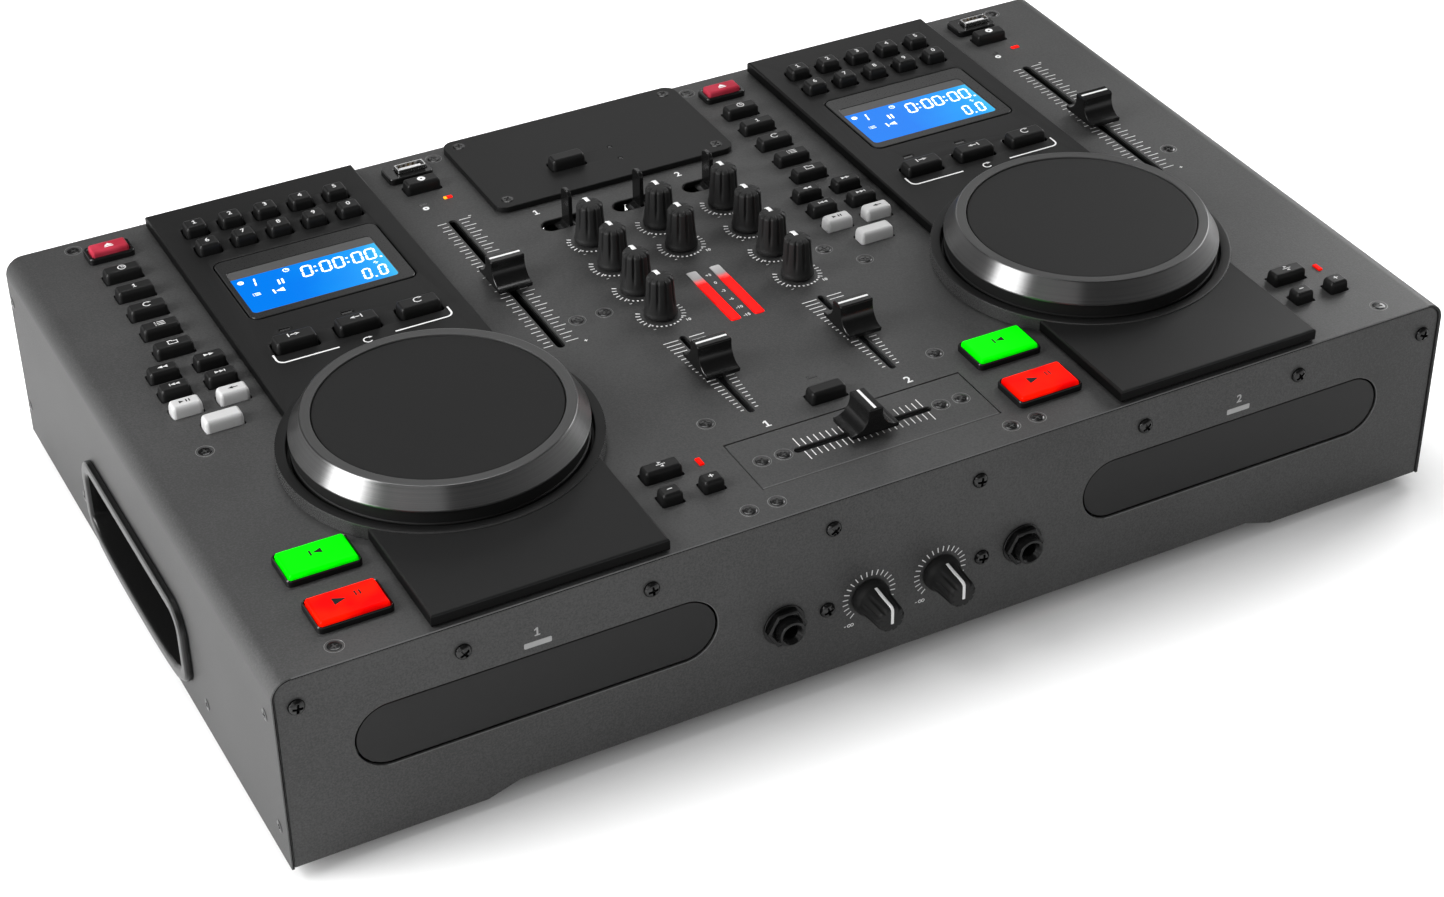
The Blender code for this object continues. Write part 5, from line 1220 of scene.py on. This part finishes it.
# Toggles: a paddle with a rounded end on a curved shield that closes its slot
paddle = {"wide": 8.2, "thick": 2.1, "top": 17, "corner": 3.2,
          "pivot": 20, "shield": 18.5, "shieldThick": 1.6, "reach": 16}    # the shield's reach in degrees each way
for side, x in toggleX.items():
    shape = Shape()
    w, high, r = paddle["wide"] / 2, paddle["top"], paddle["shield"]
    axle = at(x, toggleY, top - paddle["pivot"], "front")
    t, corner = paddle["thick"] / 2, paddle["corner"]
    outline = rounded([(-w, -2.5), (w, -2.5), (w, high), (-w, high)], [0, 0, corner, corner], 8)
    shape.slab([outline], bothEnds(t, (0.45, 0), (0.12, 0.14), (0, 0.42)), 0, at(x, toggleY, top, "right"))
    start, end = 90 - paddle["reach"], 90 + paddle["reach"]
    saddle = arc(0, 0, r, start, end, 20) + arc(0, 0, r - paddle["shieldThick"], end, start, 20)
    shape.slab([saddle], bothEnds(w, (0.25, 0), (0, 0.25)), 0, axle)
    for foot in (-1, 1):    # the fillet between the blade and its shield
        web = [(0, r - 0.3), (foot * 3.6, r - 0.55), (foot * 1.5, r + 0.5), (foot * 0.9, r + 1.6), (0, r + 1.8)]
        shape.slab([web], bothEnds(w - 0.1, (0.1, 0), (0, 0.2)), 0, axle)
    shape.block([[(-1.05, 0), (1.05, 0), (1.05, r - 1), (-1.05, r - 1)]], -3.8, 3.8, 0, axle)
    shape.turned([(0, -w), (3, -w), (3, w), (0, w)], 24, 0, axle)
    makePiece("toggle_lever_" + side, shape, "glossBlack", "toggle_" + side)
wells = Shape()
for x in toggleX.values():    # a thin lip round each slot
    lip = [stadium(x, toggleY, 26.0, 9.8, 16), stadium(x, toggleY, 25.0, 8.8, 16)]
    wells.slab(lip, onTop((0, -2.4), (0, -0.25), (0.1, -0.15)))
makePiece("toggle_wells", wells, "wellBlack")
print("toggles ready")

# Level meter, side handles and disc trays
meter = Shape()
for x, y in meterBars:
    meter.slab([rect(x, y, 5, 43.8, 1.0)], onTop((0, -0.9), (0, 0.15), (0.15, 0.3)))
makePiece("level_meter", meter, "meterLight")

wall, rim, proud, depth = (handleLook[key] for key in ("wall", "rim", "proud", "depth"))
rings = [(-wall, -depth), (-wall, 0.3), (-rim, 0.3), (-rim, 1.9), (-rim + 0.3, 2.7), (-rim + 1.0, 3.2),
         (-rim + 1.8, proud), (-1.9, proud), (-1.0, 3.1), (-0.35, 2.6), (0, 1.8), (0.2, -4), (1.2, wall - depth + 1),
         (2.0, wall - depth)]
for side, sign in (("left", -1), ("right", 1)):
    shape = Shape().slab([handleOutline(sign)], rings, 0, at(sign * coverLook["half"], 0, 0, side))
    makePiece("side_grip_" + side, shape, "glossBlack", nodes=["handle_" + side])

tray = {"doorY": frontFace - 0.6, "gap": 0.75, "thick": 3, "width": 128, "length": 140,
        "dish": 60.6, "inner": 40.5, "centre": 67}
for side, x in zip(deckX, slots["x"]):
    shape = Shape()
    front, back = tray["doorY"], tray["doorY"] - tray["thick"]
    door = stadium(x, slots["z"], slots["width"] - 2 * tray["gap"], slots["height"] - 2 * tray["gap"], 32)
    rings = [(0.15, back), (0, back + 0.2), (0, front - 0.5), (0.15, front - 0.12), (0.5, front)]
    shape.slab([door], rings, 0, at(face="front"))
    start = -back
    middle = start + tray["centre"]
    bed = rect(x, start + tray["length"] / 2 - 0.5, tray["width"], tray["length"] + 1, 3, 4)
    laser = rect(x, middle + 13, 26, 50, 5, 5)
    shape.block([bed, laser], 44, 45.7, 1)
    shape.slab([bed, circle(x, middle, tray["inner"], 96)], [(0, 45.6), (0, 46.4), (0.4, 46.8)], 1)
    shape.slab([bed, circle(x, middle, tray["dish"], 96)], [(0, 46.7), (0, 48.4), (0.6, 49)], 1)
    makePiece("tray_" + side, shape, "doorBlack wellBlack", "disc_tray_" + side)
print("handles and trays ready")

# Front row: jack sockets with hexagon nuts on their board
jack = {"nut": 9.2, "barrel": 6.0, "bore": 3.25, "board": (132, 20)}
shape = Shape()
shape.block([rect(0, frontRow["z"], *jack["board"], 1)], 149.4, 151, 2, at(face="front"))
for x in frontRow["jacks"]:
    place = at(x, -frontFace, frontRow["z"], "front")
    shape.turned([(5.2, 0), (9.3, 0), (9.5, 0.2), (9.5, 0.7), (9.2, 0.9), (5.2, 0.9)], 48, 0, place)
    nut = [rounded(circle(0, 0, jack["nut"], 6), 0.5, 3), circle(0, 0, 6.1, 48)]
    shape.slab(nut, [(0.3, 0.9), (0, 1.2), (0, 3.4), (0.55, 3.75), (1.1, 4.0)], 0, place)
    bore, out = jack["bore"], jack["barrel"]
    barrel = [(bore, -22), (bore, 5.9), (bore + 0.9, 7.1), (bore + 1.2, 7.6), (bore + 1.6, 7.95),
              (out - 0.7, 7.95), (out - 0.2, 7.7), (out, 7.2), (out, 0.3), (5.0, 0.1), (5.0, -1.4), (7, -1.4),
              (7, -24), (0, -24), (0, -22)]
    shape.turned(barrel[::-1], 48, 0, place)
    shape.turned([(2.85, -16), (3.24, -16), (3.24, -1), (2.85, -1.6)], 32, 1, place)
for x in frontRow["knobs"].values():
    place = at(x, -frontFace, frontRow["z"], "front")
    sleeve = [(2.4, -8.5), (0, -8.5), (0, -14), (5.5, -14), (5.5, -9), (3.4, -9), (3.4, 0.3), (2.4, 0.3)]
    shape.turned(sleeve, 24, 3, place)
makePiece("jack_row", shape, "glossBlack brightSteel boardGreen chassisMetal", nodes=["front_board"])
print("front row ready")

# Rear: line sockets, ground post and mains inlet
rear = {"face": 166, "sockets": (105, 140, 190, 225), "rows": (30, 52), "post": (165, 30), "inlet": (-205, 40),
        "rim": [(3.9, 0.2), (5.9, 0.2), (6.1, 0.45), (6.0, 0.9), (5.6, 1.2), (3.9, 1.2)],
        "sleeve": [(0, -1), (4.1, -1), (4.1, 9.5), (3.85, 9.9), (3.5, 10), (3.3, 9.7), (3.2, 1.6), (0, 1.6)],
        "inner": [(0, 1.4), (3.15, 1.4), (3.15, 8.7), (2.9, 8.9), (1.6, 8.9), (1.5, 8.6), (1.5, 2.2), (0, 2.2)]}
shape = Shape()
shape.block([rect(-165, 41, 136, 40, 1)], 155.8, 157.4, 0, at(face="back"))
for x in rear["sockets"]:
    shape.block([rect(-x, 41, 12, 34, 0.6)], 156.8, 164.5, 1, at(face="back"))
    for z, number in zip(rear["rows"], (2, 3)):
        place = at(x, rear["face"], z, "back")
        shape.turned(rear["rim"], 32, number, place)
        shape.turned(rear["sleeve"], 32, 4, place)
        shape.turned(rear["inner"], 32, number, place)
makePiece("line_jacks", shape, "boardGreen glossBlack socketRed socketWhite brightSteel",
          nodes=["line_sockets"])

shape = Shape()
place = at(rear["post"][0], rear["face"], rear["post"][1], "back")
shape.turned([(0, 0), (1.6, 0), (1.6, 7.8), (1.3, 8), (0, 8)], 24, 0, place)
shape.turned([(0, 0.1), (5.2, 0.1), (5.2, 0.8), (0, 0.8)], 32, 0, place)
knurl = [(4.6 + 0.22 * (i % 2), i) for i in range(72)]
knurl = [(r * math.cos(math.radians(5 * i)), r * math.sin(math.radians(5 * i))) for r, i in knurl]
shape.slab([knurl], [(0.4, 1.0), (0, 1.4), (0, 5.2), (0.5, 5.7)], 0, place)
makePiece("ground_terminal", shape, "brightSteel")

shape = Shape()
x, z = rear["inlet"]
place = at(x, rear["face"], z, "back")
mouth = rounded([(-0.7, -8.4), (23.7, -8.4), (23.7, 4.2), (19.5, 8.4), (3.5, 8.4), (-0.7, 4.2)], 1.2, 4)
well = rect(-13.5, 0, 13, 21, 0.8)
shape.slab([rect(0, 0, 60, 32, 2.5, 5), mouth, well], [(0, -1.0), (0, 2.3), (0.2, 2.75), (0.7, 3)], 0, place)
shape.block([rect(0, 0, 50, 27, 1), mouth, well], -25, -0.5, 0, place)
shape.block([rect(0, 0, 49, 26)], -26, -24.5, 0, place)
for u, v in ((4.5, 2), (18.5, 2), (11.5, -3)):
    shape.slab([rect(u, v, 2, 4, 0.5)], [(0, -24.8), (0, -2), (0.5, -0.8)], 1, place)
makePiece("mains_inlet", shape, "glossBlack brightSteel", nodes=["power_inlet"])
print("rear ready")

# Base sheet with its air slots, and rubber feet held by a screw
base = {"sheet": (0, 1, 542, 328), "vents": 6, "step": 12, "vent": (85, 4, 30), "footX": 225, "footY": 130}
foot = [(0, -3.2), (4.0, -3.2), (4.0, -6.4), (4.2, -6.8), (4.6, -7), (9.4, -7), (10.3, -6.5), (10.8, -5.9),
        (11, -5.2), (11, 0.7), (0, 0.7)]
shape = Shape()
vents = [rect(x + (i - 2.5) * base["step"], *base["vent"], 1.9, 6) for x in slots["x"] for i in range(base["vents"])]
shape.block([rect(*base["sheet"])] + vents, 0.5, 1.7, 0)
for x in (-base["footX"], base["footX"]):
    for y in (-base["footY"], base["footY"]):
        shape.turned(foot, 48, 1, at(x, y))
        shape.turned([(0, -3.4), (2.8, -3.4), (2.8, -4.2), (2.2, -4.9), (0, -5.1)], 24, 2, at(x, y))
# Painted shade: the base sheet takes the dark satin black so that its front edge reads as the shade under the case
makePiece("base_sheet", shape, "satinBlack rubberFoot brightSteel", nodes=["base_plate"])


# Screws: one countersunk and one domed head, repeated on their places
def crossSlot(size, low, high):
    arm, wide = size, size * 0.30
    cross = [(wide, -wide), (arm, -wide), (arm, wide), (wide, wide), (wide, arm), (-wide, arm),
             (-wide, wide), (-arm, wide), (-arm, -wide), (-wide, -wide), (-wide, -arm), (wide, -arm)]
    return Shape().slab([cross], [(0.25, low), (0, high)])


def screwHead(profile, size, low, high):
    return cutAway(localMesh(Shape().turned(profile, 24)), localMesh(crossSlot(size, low, high)))


screws = {
    "sunk": [(-55, 0), (55, 0), (-55, -96.2), (55, -96.2), (-55, -157.5), (55, -157.5), (-67.5, 159.5),
             (67.2, 159.3), (-68, 0), (67, -16), (-67.5, -157.5), (67.5, -157.5), (-242.5, 160.5), (-243, -16),
             (-243, -158), (244, 160), (243.5, 1), (245, -157),
             (-47.2, -130.5), (-37.3, -130.5), (37.3, -130.5), (47.2, -130.5)],
    "module": [(-54.2, 159.7), (54.2, 159.7), (-54.2, 103.8), (54.2, 103.8)],
    "front": [(x, 76.5) for x in (-263, -195.8, -116, -34.5, 34.5, 116, 195.8, 263)] + [(-37, 36), (37, 36)],
    "side": [(-76.6, 13.6), (-157.6, 69.4), (-158.4, 13.9), (82.1, 15.2), (163.8, 70.6), (164.1, 14.4)],
    "rear": [(-262, 12), (-262, 80), (262, 12), (262, 80), (-130, 80), (0, 80), (130, 80), (122.5, 41), (207.5, 41)]}
heads = {    # turned profile, then the cross slot's size, bottom and top
    "sunk": ([(0, -1.9), (1.5, -1.9), (2.9, -0.6), (3.15, -0.35), (3.1, -0.1), (2.7, 0.14), (2.2, 0.22), (0, 0.28)],
             1.8, -1.2, 1.5),
    "dome": ([(0, -0.6), (3.4, -0.6), (3.5, 0.5), (3.2, 1.25), (2.5, 1.8), (1.5, 2.12), (0, 2.25)], 2.3, 0.5, 3.5),
    "side": ([(0, -1.2), (1.6, -1.2), (2.7, -0.2), (2.75, 0.1), (2.4, 0.3), (0, 0.45)], 1.5, -0.8, 1.5)}
looseTurn = 1.6    # every screw stops at its own angle


def screwPiece(name, head, groups, spin):    # groups: the face of the case and its places
    places = [spot for face, spots in groups for spot in spots]
    faces = [face for face, spots in groups for spot in spots]
    mesh = repeat(screwHead(*heads[head]), places, faces, spin, "screwBlack", looseTurn)
    makePiece(name, mesh, "screwBlack", angle=40)


seats = [(x, y, top) for x, y in screws["sunk"]]
screwPiece("sunk_screws", "sunk", [("top", seats + [(x, y, top + 3) for x, y in screws["module"]])], 0)
dimple = [(3.1, -0.9), (3.1, -0.75), (3.7, -0.02), (3.82, 0.05), (3.95, 0.02), (3.95, -0.35)]
dimples = repeat(localMesh(Shape().turned(dimple, 32)), seats, ["top"] * len(seats), 0, "seatGrey")
makePiece("screw_seats", dimples, "seatGrey")
screwPiece("dome_screws", "dome", [("front", [(x, -frontFace, z) for x, z in screws["front"]]),
                                   ("back", [(x, rear["face"], z) for x, z in screws["rear"]])], 20)
screwPiece("side_screws", "side", [(face, [(sign * coverLook["half"], y, z) for y, z in screws["side"]])
                                   for face, sign in (("left", -1), ("right", 1))], 10)
print("screws ready")


# Printed scales: bars on a row of points, long ones at a set step, shorter along the row if it tapers
def scaleTree():
    net, start = newTree("printedScale", {
        "Count": 10, "Start": (0, 0, 0), "Step": (0, 0.003, 0), "Long": 0.006, "Short": 0.004, "Every": 2,
        "Taper": 0.0, "Width": 0.0003, "Across": (1, 0, 0), "Thickness": 0.0001})
    index = net.node("GeometryNodeInputIndex")
    line = {"Count": start["Count"], "Start Location": start["Start"], "Offset": start["Step"]}
    row = net.node("GeometryNodeMeshLine", line, {"mode": "OFFSET"})
    isLong = net.maths("COMPARE", net.maths("MODULO", index, start["Every"]), 0.0, 0.1)
    length = isLong * start["Long"] + (1 - isLong) * start["Short"] - index * start["Taper"]
    half = {0: start["Across"], "Scale": length * 0.5}
    shift = net.node("ShaderNodeVectorMath", half, {"operation": "SCALE"})
    moved = net.node("GeometryNodeSetPosition", {"Geometry": row, "Offset": shift})
    x, y, z = net.split(net.node("ShaderNodeVectorMath", {0: start["Across"]}, {"operation": "ABSOLUTE"}))
    width = start["Width"]
    size = net.vector(x * length + (1 - x) * width, y * length + (1 - y) * width, start["Thickness"])
    return endTree(net, start, net.onPoints(moved, net.cube(), Scale=size))


def ringTree():    # ticks on both sides and dots in front, round every point
    net, start = newTree("printedDial", {"Radius": 0.010, "Ticks": 7, "First": 0.0, "Turn": 0.15,
                                         "Tick": (0.002, 0.0003, 0.0001)})
    index = net.node("GeometryNodeInputIndex")
    angle = index * start["Turn"] + start["First"]
    radius = start["Radius"]
    spot = net.vector(net.maths("COSINE", angle) * radius, net.maths("SINE", angle) * radius)
    row = net.node("GeometryNodeMeshLine", {"Count": start["Ticks"]}, {"mode": "OFFSET"})
    ring = net.node("GeometryNodeSetPosition", {"Geometry": row, "Position": spot})
    ticks = net.onPoints(ring, net.cube(), Rotation=net.vector(z=angle), Scale=start["Tick"])
    facing = net.node("GeometryNodeInputNamedAttribute", {"Name": "facing"}, {"data_type": "FLOAT_VECTOR"})
    return endTree(net, start, net.onPoints(start["Geometry"], ticks, Rotation=facing))


scaleNet, ringNet = scaleTree(), ringTree()
prints = []


def world(x, y, z):
    return tuple((Vector((x, y, z)) + caseLift) / 1000)


printLook = {"lift": 0.02, "thick": 0.12}
printZ, printFront = top + printLook["lift"], -frontFace - printLook["lift"]


def scale(count, x, y, step, long, short, across, every=2, taper=0.0, width=0.36):
    values = {"Count": count, "Start": world(x, y, printZ), "Step": tuple(s / 1000 for s in step),
              "Long": long / 1000, "Short": short / 1000, "Every": every, "Taper": taper / 1000,
              "Width": width / 1000, "Across": across, "Thickness": printLook["thick"] / 1000,
              "Material": finish["whitePrint"]}
    prints.append(runTree(scaleNet, bpy.data.meshes.new("empty"), values))


for x in deckX.values():
    scale(37, x + 71.4, 102, (0, -3.19, 0), 4.4, 3.2, (-1, 0, 0))
    scale(37, x + 77.6, 102, (0, -3.19, 0), 5.8, 3.8, (1, 0, 0))
for x in faderX:
    for way in (-1, 1):
        scale(22, x + way * 2.6, -35, (0, -2.85, 0), 7.2, 7.2, (way, 0, 0), taper=0.27, width=0.42)
for way in (1, -1):
    scale(21, -28.7, crossY + way * 2, (2.925, 0, 0), 6.2, 4.6, (0, way, 0), every=20, width=0.40)

dials = {    # points, then rows of radius, number of marks, first angle, step, size
    "top": ([(x, y, printZ) for x, y in knobPlaces.values()],
            ((10.1, 6, -35, 13, 2.1, 0.56), (10.1, 6, 150, 13, 2.1, 0.56), (9.7, 9, -138, 12, 0.85, 0.85))),
    "front": ([(x, printFront, frontRow["z"]) for x in frontRow["knobs"].values()],
              ((11.2, 22, -45, 12.86, 2.6, 0.46),))}
for face, (places, rows) in dials.items():
    points = pointMesh(places, facing=[tuple(at(face=face).to_euler())] * len(places))
    for radius, count, first, turn, long, wide in rows:
        values = {"Radius": radius / 1000, "Ticks": count, "First": math.radians(first), "Turn": math.radians(turn),
                  "Tick": (long / 1000, wide / 1000, printLook["thick"] / 1000), "Material": finish["whitePrint"]}
        prints.append(runTree(ringNet, points.copy(), values))

brackets = (    # the lines from the loop sign to the keys beside it
    ((-39.9, 28.4), (-39.9, 20.6), (-12.3, 20.6), (-12.3, 21.4), (-39.1, 21.4), (-39.1, 28.4)),
    ((13.3, 20.6), (40.8, 20.6), (40.8, 28.4), (40.0, 28.4), (40.0, 21.4), (13.3, 21.4)))
bend = 3.6
deckSigns = (("minus", 83.5, 103.5, printZ, 0.7), ("plus", 85.5, -16, printZ, 0.7),
             ("disc", 68.5, 118.8, printZ, 0.8), ("loop", 0.5, 20.6, top + 6.0, 1.2))
figures = [(text, -1.1, y, 2.6) for y, text in
           ((5.5, "+3"), (-1.5, "0"), (-9, "-3"), (-16.5, "-6"), (-24, "-10"), (-31, "-15"))]
figures += [("1", -32.9, -108, 6.2), ("2", 34.7, -108, 6.2), ("1", -45.5, 91.5, 5.6), ("2", 27.5, 91.5, 5.6)]
ink = Shape()
for x in deckX.values():
    for points in brackets:
        outline = rounded(points, [0, bend, 0, 0, bend - 0.8, 0], 6)
        ink.block([[(x + u, v) for u, v in outline]], top + 5.95, top + 6.06)
    for sign, u, v, z, size in deckSigns:
        printSign(ink, sign, x + u, v, z, 0, size)
for x, y in knobPlaces.values():
    printSign(ink, "minus", x - 7.6, y - 9.6, printZ, 0, 0.55)
    figure(ink, "10", x + 9.0, y - 9.2, printZ, 2.5, 0)
for text, x, y, size in figures:
    figure(ink, text, x, y, printZ, size, 0)
for x in frontRow["knobs"].values():    # an endless sign at the quiet end of the scale
    place = at(x - 8.6, printFront, 23.4, "front")
    for u in (-0.75, 0.75):
        ink.block([circle(u, 0, 0.85, 16), circle(u, 0, 0.5, 16)], -0.05, 0.05, 0, place)
    ink.block([rect(-2.6, 0, 0.9, 0.3)], -0.05, 0.05, 0, place)
prints.append(ink.mesh("ink"))


def joinedMesh(meshes):
    bm = bmesh.new()
    for mesh in meshes:
        bm.from_mesh(mesh)
    result = bpy.data.meshes.new("joined")
    bm.to_mesh(result)
    bm.free()
    return result


makePiece("printed_marks", joinedMesh(prints), "whitePrint")
badge = Shape()
for x, text in ((-165, "1"), (165, "2")):
    badge.block([rect(x, 68.6, 11.7, 2.6, 0.5)], -0.1, 0.1, 0, at(y=-frontFace, face="front"))
    label = Shape()
    figure(label, text, 0, 0, 0, 5.6, 0)
    badge.add(label.points, label.faces, 0, at(x, -frontFace, 74.2, "front"))
makePiece("front_marks", badge, "greyPrint")

# Lamps: place and size, height of the side and of the face, inset of the face, number of the finish
deckLamps = ((82.0, 123.3, 2.8, 2.1, 0.35, 0.5, 0.2, 0), (80.0, 123.3, 1.5, 2.0, 0.33, 0.45, 0.2, 2),
             (68.5, 122.5, 4.2, 2.1, 0.05, 0.12, 0.2, 1), (87.2, -119, 2.2, 5.0, 0.5, 0.7, 0.25, 0))
lamps = Shape()


def lampOnTop(x, y, width, depth, low, high, edge, number):
    lamps.slab([rect(x, y, width, depth, 0.3)], onTop((0, -0.4), (0, low), (edge, high)), number)


for side, x in deckX.items():
    for u, *rest, number in deckLamps:
        lampOnTop(x + u, *rest, 0 if number == 2 and side == "right" else number)    # amber on the left deck only
    for u, v in loopKeys[:2]:
        lamps.block([rect(x + u + 0.3, plate["lampY"], 4.8, 1.3, 0.2)], top + 2, top + 5.5, 1)
lampOnTop(0, -86.7, 4.6, 2.2, 0.05, 0.12, 0.2, 1)
for y in (125.3, 113.4):
    lamps.turned(onTop((0, 1), (1.0, 1), (1.0, 2.7), (0.6, 3.0), (0, 3.1)), 16, 1, at(8.45, y))
makePiece("lamps", lamps, "lampRed lampOff lampAmber")
print("marks ready")

# Camera at the photograph's place
view = {"azimuth": -28.673, "elevation": 34.997, "roll": 0.057, "focal": 2939.74, "centre": (780.14, 423.39),
        "picture": (1444, 897), "sensor": 36, "place": (-0.50467, -0.97814, 0.79352)}
a, e, r = (math.radians(view[key]) for key in ("azimuth", "elevation", "roll"))
back = Vector((math.sin(a) * math.cos(e), -math.cos(a) * math.cos(e), math.sin(e)))
right = Vector((0, 0, 1)).cross(back).normalized()
up = back.cross(right)
right, up = right * math.cos(r) + up * math.sin(r), up * math.cos(r) - right * math.sin(r)
camera = bpy.data.cameras.new("camera")
wide, high = view["picture"]
camera.sensor_width = view["sensor"]
camera.lens = view["focal"] * view["sensor"] / wide
camera.shift_x = (wide / 2 - view["centre"][0]) / wide
camera.shift_y = (view["centre"][1] - high / 2) / wide
camera.clip_start, camera.clip_end = 0.01, 50
scene.camera = newObject("camera", camera)
scene.camera.matrix_world = Matrix.Translation(view["place"]) @ Matrix((right, up, back)).transposed().to_4x4()
scene.view_settings.view_transform = "Standard"

# Light: a low soft box on the left, a wide one behind, one above, and weak fills in front and at the right
lightLook = {    # place, aim, size, power
    "left": ((-1.02, 0.03, 0.52), (-0.2, -0.02, 0.08), (0.5, 0.9), 16),
    "corner": ((-0.95, -0.95, 0.75), (-0.15, -0.05, 0.1), (0.9, 0.45), 1.2),
    "back": ((0.15, 0.85, 1.75), (0, 0, 0.05), (0.8, 0.5), 7.5),
    "sheen": ((0.35, 0.75, 0.55), (0, 0.1, 0.1), (0.5, 0.25), 0.5),
    "high": ((-0.4, -0.1, 2.1), (0, 0, 0), (1.0, 1.0), 1.5),
    "right": ((1.05, 0.32, 0.60), (0.25, 0, 0.08), (0.6, 0.5), 7),
    "front": ((0.7, -1.6, 0.30), (0, 0, 0.04), (1.4, 0.4), 3.5)}
for name, (place, aim, size, power) in lightLook.items():
    lamp = bpy.data.lights.new(name, "AREA")
    lamp.shape = "RECTANGLE"
    lamp.size, lamp.size_y = size
    lamp.energy = power
    holder = newObject("light_" + name, lamp)
    holder.visible_glossy = name != "front"    # it only fills the shadows
    turn = (Vector(aim) - Vector(place)).to_track_quat("-Z", "Y")
    holder.matrix_world = Matrix.Translation(place) @ turn.to_matrix().to_4x4()

# The backdrop is white up to the horizon, and the ceiling is dim
studio = {"light": 0.35, "ceiling": 0.05, "horizon": (0.05, 0.42)}
room = bpy.data.worlds.new("studio")
scene.world = room
room.use_nodes = True
room.node_tree.nodes.clear()
net = Net(room.node_tree)
seen = net.node("ShaderNodeLightPath")
x, y, z = net.split(net.node("ShaderNodeTexCoord", output="Generated"))
low = 1 - net.between(z, *studio["horizon"])
mirrored = seen["Is Glossy Ray"] * (low * (1 - studio["ceiling"]) + studio["ceiling"])
diffuse = (1 - seen["Is Glossy Ray"]) * studio["light"]
strength = net.maths("MAXIMUM", net.maths("MAXIMUM", seen, seen["Is Transmission Ray"]), mirrored + diffuse)
glow = net.node("ShaderNodeBackground", {"Color": (1, 1, 1, 1), "Strength": strength})
net.node("ShaderNodeOutputWorld", {"Surface": glow})

# Painted shadow: the floor's glow for camera rays fades out near the case, painting a soft dark band round it
floorLook = {"size": 12, "colour": 0.80, "lift": 0.62, "fade": (-0.014, 0.055),    # no lift under the case
             "half": (coverLook["half"] / 1000, coverLook["depth"] / 2000), "middle": caseLift.y / 1000}
floor = newObject("floor", bpy.data.meshes.new("floor"))
bm = bmesh.new()
bmesh.ops.create_grid(bm, x_segments=1, y_segments=1, size=floorLook["size"])
bm.to_mesh(floor.data)
bm.free()
material, net = newFinish("paleFloor")
seen = net.node("ShaderNodeLightPath")
grain = net.noise(40, 2, 0.5)
tone = net.mix(grain, (floorLook["colour"] - 0.01,) * 3, (floorLook["colour"] + 0.01,) * 3)
x, y, z = net.axes()
dx = net.maths("ABSOLUTE", x) - floorLook["half"][0]
dy = net.maths("ABSOLUTE", y - floorLook["middle"]) - floorLook["half"][1]
ox, oy = net.maths("MAXIMUM", dx, 0.0), net.maths("MAXIMUM", dy, 0.0)
away = net.maths("SQRT", ox * ox + oy * oy) + net.maths("MINIMUM", net.maths("MAXIMUM", dx, dy), 0.0)
# painted shadow: the glow is black near the case and white further out
white = net.mix(net.between(away, *floorLook["fade"]), (0, 0, 0), (1, 1, 1))
net.shader({"Base Color": tone, "Roughness": grain * 0.05 + 0.85, "Specular IOR Level": 0.0,
            "Emission Color": white, "Emission Strength": seen * floorLook["lift"]})
floor.data.materials.append(material)
